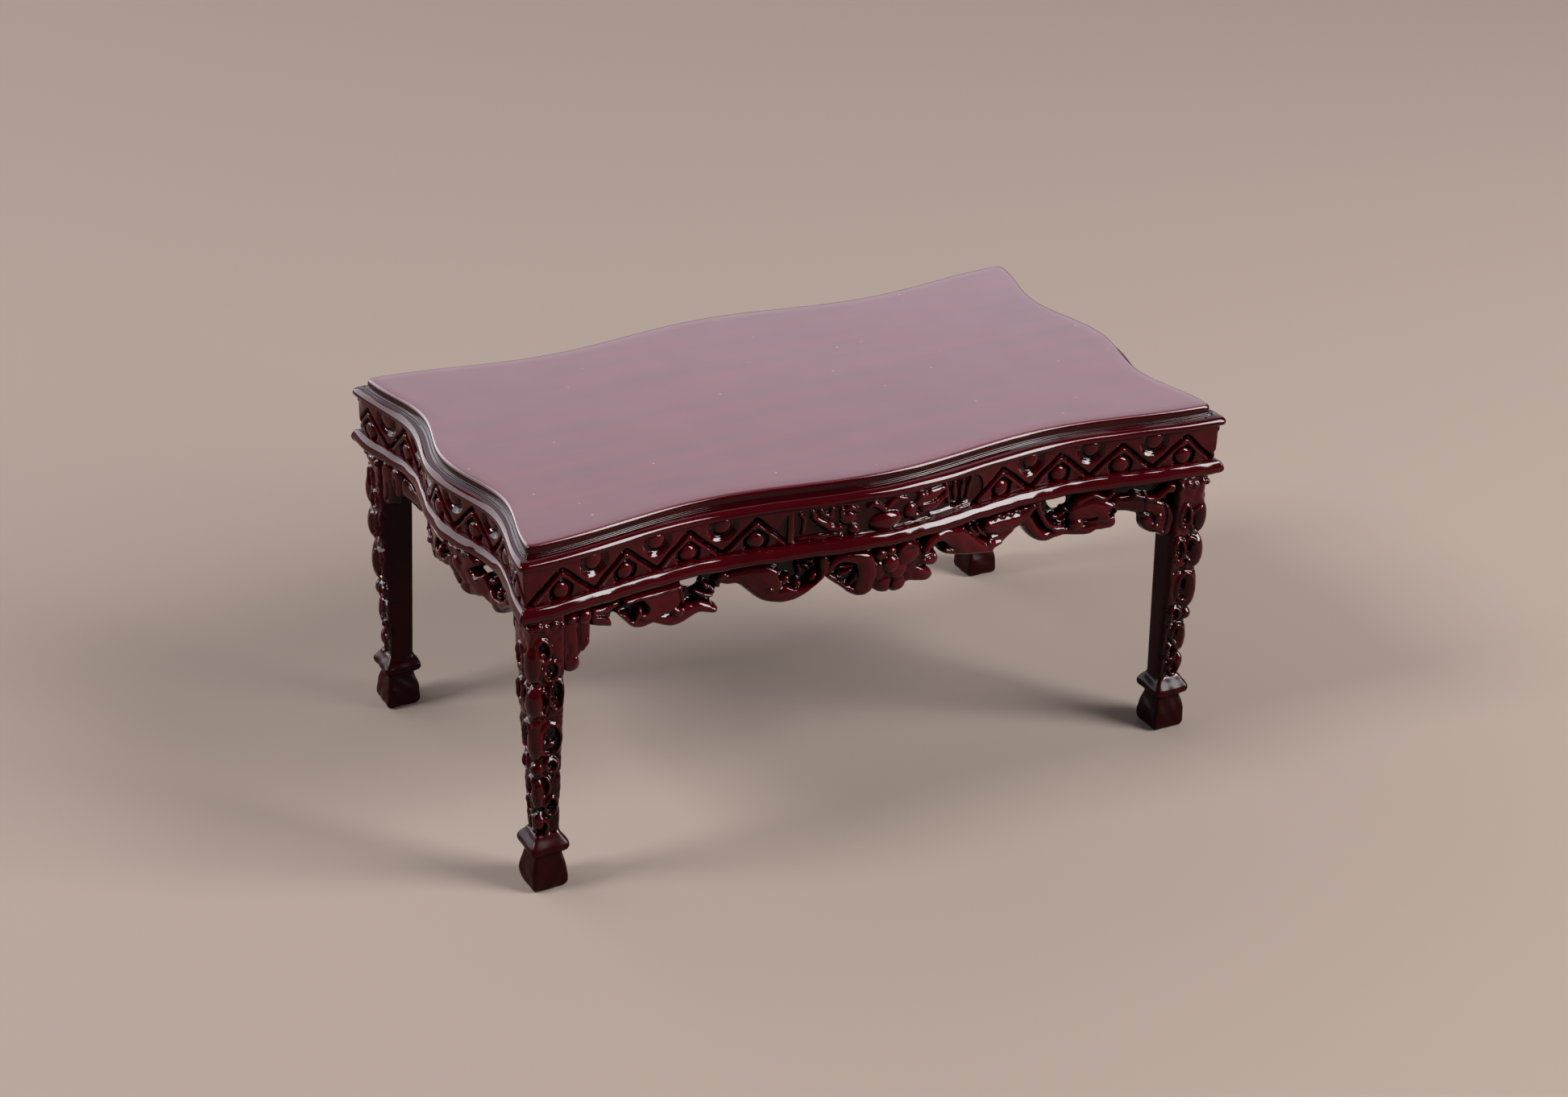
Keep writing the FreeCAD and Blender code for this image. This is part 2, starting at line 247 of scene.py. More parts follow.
class Relief:
    """A strip of carving: how far the wood stands out, and where the wood ends.

    Strokes give their tops and floors from a level, such as the flat face that is carved.
    """

    def __init__(self, s_range, z_range, level, ground, seed):
        self.s = np.arange(s_range[0], s_range[1] + VOXEL, VOXEL)
        self.z = np.arange(z_range[0], z_range[1] + VOXEL, VOXEL)
        s, z = np.meshgrid(self.s, self.z, indexing="ij")
        self.at_s = s + HAND_DRIFT * ripple(seed, s, z)
        self.at_z = z + HAND_DRIFT * ripple(seed + 1, s, z)
        self.level = level
        self.height = np.zeros(s.shape) + (level + ground)
        self.edge = np.full(s.shape, -9.0)  # signed distance to the end of the wood
        self.shift, self.flip = 0.0, 1

    def move_to(self, shift, flip=1):
        """Draws what follows shifted along the strip, and mirrored if flip is -1."""
        self.shift, self.flip = shift, flip

    def local(self, points):
        return np.asarray(points, float) * (self.flip, 1) + (self.shift, 0)

    def window(self, points, reach):
        """The part of the strip near some points."""
        low, high = np.min(points, 0) - reach, np.max(points, 0) + reach
        first = np.searchsorted(self.s, low[0]), np.searchsorted(self.z, low[1])
        last = np.searchsorted(self.s, high[0]), np.searchsorted(self.z, high[1])
        return slice(first[0], last[0] + 1), slice(first[1], last[1] + 1)

    def stroke(self, points, width):
        """Where a line is, how many radii each place is from it, the radius, and how far along."""
        line = curve(self.local(points))
        widths = np.atleast_1d(np.asarray(width, float))
        part = self.window(line, widths.max() + REACH)
        distance, along = nearest(self.at_s[part], self.at_z[part], line)
        radius = np.interp(along, np.linspace(0, 1, len(widths)), widths)
        return part, distance / radius, radius, along

    def raise_to(self, part, q, radius, top, bulge):
        fallen, wall = dome(q, radius)
        crest = self.level + top - bulge * fallen - wall
        self.height[part] = smooth_max(self.height[part], crest, BLEND)

    def sink_to(self, part, q, radius, floor, rise):
        risen, wall = dome(q, radius)
        pit = self.level + floor + rise * risen + wall
        self.height[part] = smooth_min(self.height[part], pit, BLEND)

    def ridge(self, points, width, top, bulge=0.3):
        """A raised strap along a line, round across. Its half width and top may change along it."""
        part, q, radius, along = self.stroke(points, width)
        tops = np.atleast_1d(np.asarray(top, float))
        crest = np.interp(along, np.linspace(0, 1, len(tops)), tops)
        self.raise_to(part, q, radius, crest, bulge)

    def trench(self, points, width, floor, rise=0.3):
        """A round-bottomed channel cut down to a floor."""
        part, q, radius, _ = self.stroke(points, width)
        self.sink_to(part, q, radius, floor, rise)

    def groove(self, points, width, depth):
        """A small V-shaped cut below whatever is there."""
        part, q, _, _ = self.stroke(points, width)
        self.height[part] -= depth * np.clip(1 - q, 0, 1) ** 0.8

    def ellipse(self, centre, radii, tilt):
        centre, tilt = self.local(centre), tilt * self.flip
        part = self.window(np.array([centre]), max(radii) + REACH)
        across, up = self.at_s[part] - centre[0], self.at_z[part] - centre[1]
        cos, sin = math.cos(math.radians(tilt)), math.sin(math.radians(tilt))
        q = np.hypot((across * cos + up * sin) / radii[0], (up * cos - across * sin) / radii[1])
        return part, q, min(radii)

    def boss(self, centre, radii, top, bulge=0.35, tilt=0):
        """A rounded knob."""
        self.raise_to(*self.ellipse(centre, radii, tilt), top, bulge)

    def hollow(self, centre, radii, floor, rise=0.4, tilt=0):
        """A rounded bowl."""
        self.sink_to(*self.ellipse(centre, radii, tilt), floor, rise)

    def outside(self, lobes):
        """Signed distance to a closed outline, positive outside it.

        Each smooth lobe starts at the sharp corner where the one before it ends.
        """
        s, z = self.at_s, self.at_z
        inside = np.zeros(s.shape, bool)
        distance = np.full(s.shape, 99.0)
        for before, lobe in zip(lobes[-1:] + lobes[:-1], lobes):
            line = curve(self.local(before[-1:] + lobe))
            distance = np.minimum(distance, nearest(s, z, line)[0])
            for (s0, z0), (s1, z1) in zip(line, line[1:]):
                if z0 != z1:
                    crosses = (z0 > z) != (z1 > z)
                    inside ^= crosses & (s < (s1 - s0) * (z - z0) / (z1 - z0) + s0)
        return np.where(inside, -distance, distance)

    def trim(self, outside):
        """Takes the wood away where a distance field is positive."""
        self.edge = np.maximum(self.edge, outside)

    def keep_inside(self, lobes):
        self.trim(self.outside(lobes))

    def pierce(self, lobes):
        self.trim(-self.outside(lobes))

    def roughen(self, seed):
        self.height += UNEVENNESS * ripple(seed, self.at_s, self.at_z, length=3)

    def ease_edges(self, width, drop):
        """Rounds the face off towards its outline."""
        near = np.clip(1 + self.edge / width, 0, 1)
        self.height -= drop * near * near

    def blurred(self):
        soft = self.height
        for _ in range(BLUR_ROUNDS):
            padded = np.pad(soft, 1, mode="edge")
            soft = (padded[:-2, 1:-1] + padded[2:, 1:-1]
                    + padded[1:-1, :-2] + padded[1:-1, 2:] + soft) / 5
        return soft

    def painted_shade(self):
        """The painted shade at each place, by how far it lies in a pit, from 0 on the crests to 1."""
        crest = np.percentile(self.height[self.edge < 0], 90)
        # painted shade from how far a place lies below the blurred height around it, and below the crests
        groove_shade = (self.blurred() - self.height) / GROOVE_SHADE_DEPTH
        return np.clip(groove_shade + (crest - self.height) / SHADE_DEPTH, 0, 1)


def sampled(grid, relief, s, z):
    """A grid of the relief read at scattered places."""
    i = np.clip(((s - relief.s[0]) / VOXEL).round().astype(int), 0, len(relief.s) - 1)
    j = np.clip(((z - relief.z[0]) / VOXEL).round().astype(int), 0, len(relief.z) - 1)
    return grid[i, j]


EDGE_ROUND = 0.30


def carve_board(name, side, r, back, node):
    """Cuts a board with the relief on its face and sets it on the side's course."""
    low = back - 3 * VOXEL
    depths = np.arange(low, r.height.max() + 4 * VOXEL, VOXEL)
    slopes = np.gradient(r.height, VOXEL)
    steepness = np.sqrt(1 + slopes[0] ** 2 + slopes[1] ** 2)
    d = depths[None, None, :]
    field = (d - r.height[..., None]) / steepness[..., None]
    field = smooth_max(field, r.edge[..., None], EDGE_ROUND)
    field = smooth_max(field, back - d, 0.1)
    mitre = (np.abs(r.s)[:, None, None] - side.half_run - d) * math.sqrt(0.5)
    field = np.maximum(field, mitre)
    close_ends(field)
    points, quads = skin(field, (r.s[0], r.z[0], low))
    s, z, d = points.T
    # painted shade for each point, read from the relief's pits and grooves
    painted_shade = sampled(r.painted_shade(), r, s, z)
    add_piece(name, side.place(s, z, d), quads.tolist(), painted_shade, CARVED, node)


# ---- finishes

DUST_SCALE = 300.0  # cells to a metre, a few of which hold a speck
DUST_COLOUR = (0.30, 0.26, 0.28, 1)
BLOTCH_SCALE = 160.0  # uneven staining
BLOTCH_SHARE = 0.30  # how much uneven staining adds to the painted shade that sets the colour
SKIN_SCALE = 900.0  # small lumps in the lacquer's surface
SKIN_HEIGHT = 0.00003
WOOD_IOR, LACQUER_IOR = 1.40, 1.28


def made(tree, kind, output, inputs, **settings):
    """An output of a new shader node, whose inputs are each set to a value or linked to a socket."""
    node = tree.nodes.new("ShaderNode" + kind)
    for key, value in settings.items():
        setattr(node, key, value)
    feed(tree, node, inputs)
    return node.outputs[output]


def feed(tree, node, inputs):
    for key, value in inputs.items():
        if isinstance(value, bpy.types.NodeSocket):
            tree.links.new(value, node.inputs[key])
        else:
            node.inputs[key].default_value = value


def ramp(tree, factor, stops):
    """A colour ramp with (place, colour) stops."""
    colour = made(tree, "ValToRGB", "Color", {"Fac": factor})
    elements = colour.node.color_ramp.elements
    while len(elements) < len(stops):
        elements.new(0.5)
    for element, (place, shade) in zip(elements, stops):
        element.position = place
        element.color = (*shade, 1)
    return colour


def dust(tree, place, colour):
    """A few pale specks scattered over a flat face."""
    cells = made(tree, "TexVoronoi", "Distance", {"Vector": place, "Scale": DUST_SCALE},
                 voronoi_dimensions="2D")
    spot = ramp(tree, cells, [(0.02, (1, 1, 1)), (0.05, (0, 0, 0))])
    share = made(tree, "SeparateColor", "Red", {"Color": cells.node.outputs["Color"]})
    chosen = ramp(tree, share, [(0.86, (0, 0, 0)), (0.98, (0.35, 0.35, 0.35))])
    amount = made(tree, "Math", "Value", {0: spot, 1: chosen}, operation="MULTIPLY")
    return made(tree, "Mix", "Result", {"Factor": amount, "A": colour, "B": DUST_COLOUR},
                data_type="RGBA")


def lacquer(name, crest, body, pit, grain, roughness, coat_roughness, coat=1.0, specular=0.0,
            bump=0.25, dusty=False):
    """Stained wood under clear lacquer, with painted shade from its crests down to the dark of its pits.
    """
    material = bpy.data.materials.new(name)
    material.use_nodes = True
    tree = material.node_tree
    place = made(tree, "TexCoord", "Object", {})
    along_grain = made(tree, "Mapping", "Vector", {"Vector": place, "Scale": grain})

    def noise(vector, scale, detail, roughness):
        return made(tree, "TexNoise", "Fac", {"Vector": vector, "Scale": scale, "Detail": detail,
                                              "Roughness": roughness})

    fibres = noise(along_grain, 1.0, 5.0, 0.6)
    blotches = noise(place, BLOTCH_SCALE, 2.0, 0.5)
    lumps = noise(place, SKIN_SCALE, 3.0, 0.5)

    # painted shade from the mesh darkens the colour from crest towards pit, with the uneven stain added
    painted_shade = made(tree, "Attribute", "Fac", {}, attribute_name="painted_shade")
    depth = made(tree, "Math", "Value", {0: blotches, 1: BLOTCH_SHARE, 2: painted_shade},
                 operation="MULTIPLY_ADD")
    stain_and_shade = ramp(tree, depth, [(0.12, crest), (0.34, body), (0.80, pit)])
    streaks = ramp(tree, fibres, [(0.35, (0.72, 0.72, 0.72)), (0.65, (1, 1, 1))])
    colour = made(tree, "Mix", "Result", {"Factor": 1.0, "A": stain_and_shade, "B": streaks},
                  data_type="RGBA", blend_type="MULTIPLY")
    sheen = made(tree, "MapRange", "Result",
                 {"Value": blotches, "To Min": roughness[0], "To Max": roughness[1]})
    surface = made(tree, "Bump", "Normal",
                   {"Height": lumps, "Strength": bump, "Distance": SKIN_HEIGHT})
    feed(tree, tree.nodes["Principled BSDF"], {
        "Base Color": dust(tree, place, colour) if dusty else colour,
        "Roughness": sheen, "Normal": surface, "Coat Normal": surface,
        "Coat Weight": coat, "Coat Roughness": coat_roughness, "Coat IOR": LACQUER_IOR,
        "IOR": WOOD_IOR, "Specular IOR Level": specular})
    return material


# the pit colours are painted shade, the darkest the colour runs in pits and grooves
DARK = dict(crest=(0.028, 0.0004, 0.0016), body=(0.012, 0.0001, 0.0004),
            pit=(0.0012, 0.00001, 0.00003), grain=(220.0, 220.0, 60.0))
CARVED = lacquer("carved_lacquer", **DARK, roughness=(0.4, 0.5), coat_roughness=0.05)
PLAIN = lacquer("plain_lacquer", **DARK, roughness=(0.45, 0.55), coat=0.5, coat_roughness=0.30)
MOULDED = lacquer("moulding_lacquer", crest=(0.030, 0.0004, 0.0016), body=(0.018, 0.0002, 0.0008),
                  pit=(0.003, 0.0001, 0.0002), grain=(60.0, 60.0, 300.0),
                  roughness=(0.4, 0.5), coat_roughness=0.06)
TOP_FINISH = lacquer("top_lacquer", crest=(0.052, 0.0010, 0.0050), body=(0.046, 0.0008, 0.0042),
                     pit=(0.010, 0.0002, 0.0005), grain=(40.0, 420.0, 420.0),
                     roughness=(0.30, 0.40), coat_roughness=0.14, specular=0.5, bump=0.05, dusty=True)


# ---- swept mouldings

def rounded(corners, steps=5, closed=False):
    """A profile through (out, up, radius) corners, each corner turned by a smooth curve."""
    p = np.array([c[:2] for c in corners], float)
    line = []
    for k, (_, _, radius) in enumerate(corners):
        if not closed and k in (0, len(p) - 1):
            line.append(p[k])
            continue
        before, after = p[k - 1] - p[k], p[(k + 1) % len(p)] - p[k]
        long_before, long_after = np.hypot(*before), np.hypot(*after)
        start = p[k] + before * min(radius, long_before * 0.49) / long_before
        end = p[k] + after * min(radius, long_after * 0.49) / long_after
        for t in np.linspace(0, 1, steps):
            line.append((1 - t) ** 2 * start + 2 * t * (1 - t) * p[k] + t * t * end)
    return np.array(line)


STEP_ALONG = 0.16  # spacing of points along a moulding
BLUNT_ROUNDS = 8  # how often the slab's corners are smoothed
BLUNT_REACH = 5  # how many points each side of a corner move
FLAT_SHADE_LEVEL, STEP_SHADE_LEVEL = 0.15, 0.45  # the painted shade level on smooth mouldings, and the darker painted shade in the slab's step


def edge_loop(d, wander):
    """The slab's course all the way round, d out from it, with slightly blunted corners."""
    loop, corners = [], []
    for side in SIDES:
        run = side.half_run + d
        s = np.linspace(-run, run, int(2 * side.half_run / STEP_ALONG), endpoint=False)
        corners.append(len(loop))
        loop.extend(side.place(s, 0 * s, d)[:, :2])
    loop = np.array(loop)
    half = len(loop) // 2
    near = np.zeros(len(loop))
    for corner in corners:
        gap = np.abs((np.arange(len(loop)) - corner + half) % len(loop) - half)
        near = np.maximum(near, np.clip(1 - gap / BLUNT_REACH, 0, 1))
    for _ in range(BLUNT_ROUNDS):
        mean = (np.roll(loop, 1, 0) + np.roll(loop, -1, 0)) / 2
        loop = loop + (mean - loop) * near[:, None]
    middle = np.hypot(loop[:, 0], loop[:, 1])[:, None]
    return loop * (1 + wander[:, None] / middle)


SLAB_ROUND = 0.45
TOP_PROFILE = rounded([
    (-1.60, TOP_LEVEL, 0), (0.00, TOP_LEVEL, SLAB_ROUND), (0.02, TOP_LEVEL - 0.86, 0.06),
    (0.22, TOP_LEVEL - 0.90, 0.06), (0.27, TOP_LEVEL - 1.10, 0.06), (0.88, TOP_LEVEL - 1.20, 0.22),
    (1.26, TOP_LEVEL - 1.50, 0.22), (LIP_OUT, TOP_LEVEL - 1.95, 0.25),
    (0.95, TOP_LEVEL - 2.10, 0.12), (-1.0, TOP_LEVEL - 2.10, 0)])
EDGE_STARTS = 3  # the profile point where the satin face gives way to the glossier edge
LIP_WANDER, LIFT = 0.07, 0.7  # how far the lip strays outward, and the share of it upward


def sweep(name, rings, painted_shade, material, node):
    """A closed skin over rings of points, with a face across the first ring and the last."""
    index = np.arange(rings.shape[0] * rings.shape[1]).reshape(rings.shape[:2])
    grid = np.hstack([index, index[:, :1]])
    quads = np.stack([grid[:-1, :-1], grid[1:, :-1], grid[1:, 1:], grid[:-1, 1:]], -1).reshape(-1, 4)
    faces = quads.tolist() + [index[0].tolist(), index[-1, ::-1].tolist()]
    return add_piece(name, rings.reshape(-1, 3), faces, painted_shade, material, node)


def make_top():
    """The slab with its stepped lip, one closed skin of rings round the edge and two flats."""
    count = len(edge_loop(0, np.zeros(1)))
    turn = 2 * np.pi * np.arange(count) / count
    around = np.cos(turn) * 30, np.sin(turn) * 30
    sway, lift = ripple(11, *around, length=14), ripple(12, *around, length=10)
    rings = []
    for out, up in TOP_PROFILE:
        wander = LIP_WANDER * np.clip(out / LIP_OUT, 0, 1)
        rings.append(np.column_stack([edge_loop(out, wander * sway), up + wander * LIFT * lift]))
    # painted shade: darker in the slab's step crease than on the flat faces
    painted_shade = [STEP_SHADE_LEVEL if 0 < out < 0.5 else FLAT_SHADE_LEVEL for out, _ in TOP_PROFILE]
    top = sweep("top_board", np.array(rings), np.repeat(painted_shade, count), TOP_FINISH,
                "table_top")
    top.data.materials.append(MOULDED)
    on_edge = np.zeros(len(top.data.polygons), np.int32)
    on_edge[count * EDGE_STARTS:-2] = 1
    top.data.polygons.foreach_set("material_index", on_edge)


BEAD_PROFILE = rounded([
    (RAIL_BACK, BEAD_BOTTOM, 0.1), (0.90, BEAD_BOTTOM + 0.02, 0.35), (1.34, BEAD_BOTTOM + 0.40, 0.4),
    (1.38, BEAD_BOTTOM + 0.86, 0.30), (1.02, BEAD_TOP - 0.02, 0.28), (0.35, BEAD_TOP + 0.06, 0.3),
    (RAIL_BACK, BEAD_TOP, 0.1)], closed=True)
BEAD_WANDER = 0.06


def make_bead(side, seed):
    """A half-round strip along one side, mitred at its ends."""
    count = int(2 * side.half_run / STEP_ALONG)
    share = np.linspace(-1, 1, count)
    rows = []
    for out, up in BEAD_PROFILE:
        s = share * (side.half_run + out)
        wander = BEAD_WANDER * max(out, 0) / LIP_OUT
        d = out + wander * ripple(seed, s, s * 0, length=7)
        z = up + wander * ripple(seed + 1, s, s * 0, length=5)
        rows.append(side.place(s, z, d))
    sweep("bead_strip_" + side.name, np.stack(rows, 1), np.full(len(rows) * count, FLAT_SHADE_LEVEL),
          MOULDED, "bead_" + side.name)


# ---- the frieze

FRIEZE_FACE = 0.85
FRIEZE_LEAN = 0.25  # the face leans in towards its foot
TRIANGLE_FOOT = 0.15  # above the bead
TRIANGLE_PEAK = 3.2


def triangle(r, middle, half):
    """A pointed panel with a knob at its foot, between two incised lines."""
    foot, peak = BEAD_TOP + TRIANGLE_FOOT, BEAD_TOP + TRIANGLE_PEAK
    knob = (middle, foot + 0.8)
    r.hollow(knob, (1.22, 1.22), -0.62, 0.2)
    r.boss(knob, (0.92, 0.92), 0.12, 0.45)
    for way in (-1, 1):
        r.groove([(middle + way * half, foot), (middle + way * 0.06, peak)], 0.36, 0.55)
        inner = [(middle + way * (half - 0.55), foot + 0.05), (middle + way * 0.1, peak - 0.48)]
        r.ridge(inner, 0.16, 0.03, 0.06)


def hanging_boss(r, middle):
    """Half a disc that hangs from the top, in a dished gap between two pointed panels."""
    top = FRIEZE_TOP - 0.75
    r.hollow((middle, top - 0.15), (1.65, 1.5), -0.5, 0.5)
    r.boss((middle, top + 0.1), (0.95, 1), -0.02)
    arc = [(middle + 1.25 * math.cos(a), top + 1.2 * math.sin(a)) for a in np.linspace(-2.9, -0.24, 7)]
    r.groove(arc, 0.16, 0.18)


def make_frieze(side, seed):
    """Pointed panels and hanging knobs, on the long sides either side of a fruit panel."""
    end = side.half_run + FRIEZE_FACE + 3 * VOXEL
    r = Relief((-end, end), (BEAD_TOP - 0.4, FRIEZE_TOP + 0.2), FRIEZE_FACE, -0.05, seed)
    if side.is_long:
        half, pitch, first = 3.45, 7.05, 13.9
        middles = [way * (first + pitch * k) for way in (-1, 1) for k in range(4)]
        gaps = [way * (first + pitch * (k + 0.5)) for way in (-1, 1) for k in range(3)]
    else:
        half, pitch = 3.1, 6.4
        middles = [pitch * k for k in range(-3, 4)]
        gaps = [pitch * (k + 0.5) for k in range(-3, 3)]
    for middle in middles:
        triangle(r, middle, half)
    for middle in gaps:
        hanging_boss(r, middle)
    if side.is_long:
        fruit_panel(r)
    up = np.clip((r.z - BEAD_TOP) / (FRIEZE_TOP - BEAD_TOP), 0, 1)
    r.height -= FRIEZE_LEAN * (1 - up)[None, :]
    r.roughen(5)
    from_middle = np.abs(r.z - (BEAD_TOP + FRIEZE_TOP) / 2)
    r.trim(from_middle[None, :] - (FRIEZE_TOP - BEAD_TOP) / 2 - 0.05)
    carve_board("frieze_board_" + side.name, side, r, RAIL_BACK, "frieze_" + side.name)


def fruit_panel(r):
    """A fruit with leaves curling either side of it, on a sunk ground."""
    r.trench([(-9.9, 33.9), (9.7, 33.9)], 1.7, -0.38, 0.1)
    r.ridge([(-10.35, 32.3), (-10.35, 35.6)], 0.33, 0, 0.2)
    for points in ([(-9.4, 35.3), (-9, 34.6), (-9.1, 33.2)], [(-8.2, 35.4), (-7.8, 34.7), (-7.2, 34.2)],
                   [(-7.4, 35.4), (-7, 34.9), (-6.5, 34.6)], [(-6.2, 35.4), (-6.3, 34.5)],
                   [(-5.2, 35.2), (-5.1, 34.2)]):
        r.ridge(points, 0.24, 0)
    r.ridge([(-8.2, 34.8), (-7, 33.9), (-6.2, 33.2), (-5.4, 33.3)], [0.2, 0.4, 0.4, 0.2], 0.1, 0.35)
    r.ridge([(-9.6, 32.5), (-7.5, 32.4), (-5.2, 32.35)], [0.2, 0.3, 0.2], -0.1)
    r.boss((-4.5, 34.1), (0.95, 0.8), 0.05, 0.5)
    r.boss((-3.8, 32.8), (0.65, 0.55), 0.1, 0.4)
    r.ridge([(-4.9, 35.1), (-4.2, 35.3), (-3.4, 34.8)], [0.2, 0.35, 0.25], 0.1, 0.35)
    r.ridge([(-2.4, 35.1), (-1.6, 35.2), (-0.6, 34.5)], [0.2, 0.4, 0.3], 0.1, 0.4)
    r.ridge([(-0.3, 34.5), (0.7, 35.3), (2, 35.2)], [0.3, 0.4, 0.2], 0.05, 0.4)
    r.boss((-0.3, 33.1), (1.85, 1.05), 0.35, 0.8)
    r.boss((2.55, 33.5), (0.85, 0.85), 0.15, 0.5)
    r.boss((3.3, 32.7), (0.6, 0.5), 0, 0.4)
    r.boss((3.75, 35), (0.5, 0.35), 0.15)
    r.ridge([(3.6, 34.2), (5, 34.6), (6.3, 35.1)], [0.6, 0.75, 0.3], 0.05, 0.4)
    r.ridge([(4.2, 33.4), (5.6, 33.7), (6.7, 34.3)], [0.5, 0.5, 0.25], 0.1, 0.35)
    r.groove([(4, 34), (5.2, 34.1), (6.3, 34.5)], 0.14, 0.25)
    for foot, head in ((7.1, 6.6), (7.9, 7.7), (8.6, 8.8), (9.4, 9.9)):
        r.ridge([(foot, 33.3), ((foot + head) / 2, 34.4), (head, 35.4)], [0.2, 0.32, 0.22], 0.05)
    r.ridge([(5, 32.4), (7, 32.35), (9.8, 32.5)], [0.2, 0.3, 0.2], -0.1)
    r.hollow((8.3, 32.95), (0.75, 0.35), -0.8, 0.3)


# ---- the pierced skirts

SKIRT_GROUND, SKIRT_BACK = -0.7, -1.1
SKIRT_TOP = limit("skirt_front", HIGH, Z)
ABOVE = SKIRT_TOP + 0.6

LONG_HEM = [
    [(-30.6, 27.4), (-29.3, 27)],
    [(-29.05, 27.8), (-28.8, 28.4)],
    [(-27.8, 27.2), (-26.8, 26.25), (-25.5, 25.9), (-24.5, 26.1)],
    [(-23.5, 25.5), (-22.2, 24.9), (-21, 25.15), (-19.6, 25.75), (-17.8, 25.2)],
    [(-17.2, 26.1)], [(-17.9, 26.5)],
    [(-17.4, 27.3), (-16.8, 28), (-15.7, 28.2), (-14.8, 27.7), (-13.3, 26.3),
     (-12.2, 25.7), (-10.6, 25.4), (-9, 25.7), (-7.3, 26.8), (-6.2, 27.5)],
    [(-5.5, 26.9), (-4.5, 26.1), (-3.6, 25.2), (-2.5, 24.7), (-1.3, 25.15)],
    [(-0.5, 24.8), (0.8, 24.4), (2.3, 24.6), (2.9, 25.2)],
    [(4, 25), (5.4, 24.7), (6.1, 25.2), (5.9, 25.9), (4.9, 26.6)],
    [(5.7, 26.3), (6.5, 26.4), (6.8, 27.2), (6.6, 27.7)],
    [(7.4, 27), (9, 26.5), (11.5, 26), (13.4, 25.6)],
    [(14.5, 25.9), (15.3, 26.3), (16.3, 27.2), (17.4, 27.3)],
    [(18.2, 26.3), (19.3, 25.4), (20.5, 25), (21.3, 25.3)],
    [(22.4, 25.35), (23.7, 25.1), (25.3, 25), (26.1, 25.45)],
    [(27, 25.2), (28, 25.3), (28.5, 25.9), (28.2, 27.1)],
    [(29.4, 27.05), (30.4, 26.6), (31.6, 26)],
    [(31.6, ABOVE)], [(-31.6, ABOVE)], [(-31.6, 27.9)],
]
LONG_HOLES = ([[(-19.1, 29.6)], [(-19.6, 29), (-20.6, 28.9), (-21.5, 29.6)]],
              [[(22.8, 29.6)], [(22.7, 28.8), (21.3, 28.8), (20.6, 29.7)]])


def left_leaf(r):
    """A pointed leaf beside the bracket."""
    r.ridge([(-31.4, 28.8), (-30.3, 28.1), (-29.5, 27.4)], [0.95, 0.8, 0.35], 0.15, 0.5)
    r.ridge([(-31.6, 29.3), (-30.2, 29.2), (-28.7, 29.5)], [0.4, 0.35, 0.25], 0.2, 0.25)
    r.groove([(-31, 28.95), (-30.1, 28.6), (-29.3, 28)], 0.16, 0.3)


def left_scroll(r):
    """A flat-faced block over a sweeping foot, with a deep eye to its right."""
    r.ridge([(-28.5, 28.5), (-27.4, 27.2), (-26.2, 26.5), (-24.8, 26.6)],
            [0.35, 0.6, 0.7, 0.5], 0.25, 0.35)
    r.ridge([(-27.6, 29.2), (-26.4, 29.1), (-25, 28.7)], [0.4, 0.5, 0.6], 0.35)
    r.ridge([(-25.2, 28.2), (-24, 28.2), (-22.9, 28.2)], [1.3, 1.35, 1.3], 0.5, 0.12)
    r.trench([(-28, 28.5), (-27.2, 28.6), (-26.3, 28.5), (-25.7, 28)],
             [0.25, 0.42, 0.4, 0.2], -0.75, 0.2)
    r.trench([(-27.3, 28.2), (-26.9, 27.5)], [0.35, 0.25], -0.7, 0.2)
    r.boss((-26.35, 27.6), (0.3, 0.7), 0.45, 0.35, -22)
    r.ridge([(-27.8, 29.5), (-25, 29.45), (-21.9, 29.45)], 0.17, 0.66, 0.12)
    r.ridge([(-21.75, 29.5), (-21.55, 28.6), (-21.35, 27.8)], 0.17, 0.62, 0.12)
    r.ridge([(-24.6, 26.6), (-23, 25.95), (-21.4, 26.1), (-19.6, 26.55), (-17.8, 25.9)],
            [0.6, 0.85, 0.8, 0.6, 0.4], 0.35, 0.45)
    r.boss((-21.9, 26.75), (0.75, 0.42), 0.72, 0.4, -38)
    r.trench([(-20, 29.6), (-19.9, 28.7), (-20.1, 28)], [1.15, 1.2, 0.8], -0.95)
    for points in ([(-19.8, 28.2), (-19, 27.7), (-18.1, 27.5)],
                   [(-19.1, 29.2), (-18.8, 28.8), (-18.6, 28.4)],
                   [(-18.3, 28.6), (-18.1, 28.2), (-17.9, 27.8)],
                   [(-17.8, 29.2), (-17.5, 28.8), (-17.4, 28.4)]):
        r.ridge(points, [0.18, 0.28, 0.18], [-0.1, 0.2, 0.1])
    r.boss((-17.1, 29.6), (0.5, 0.42), 0.5)


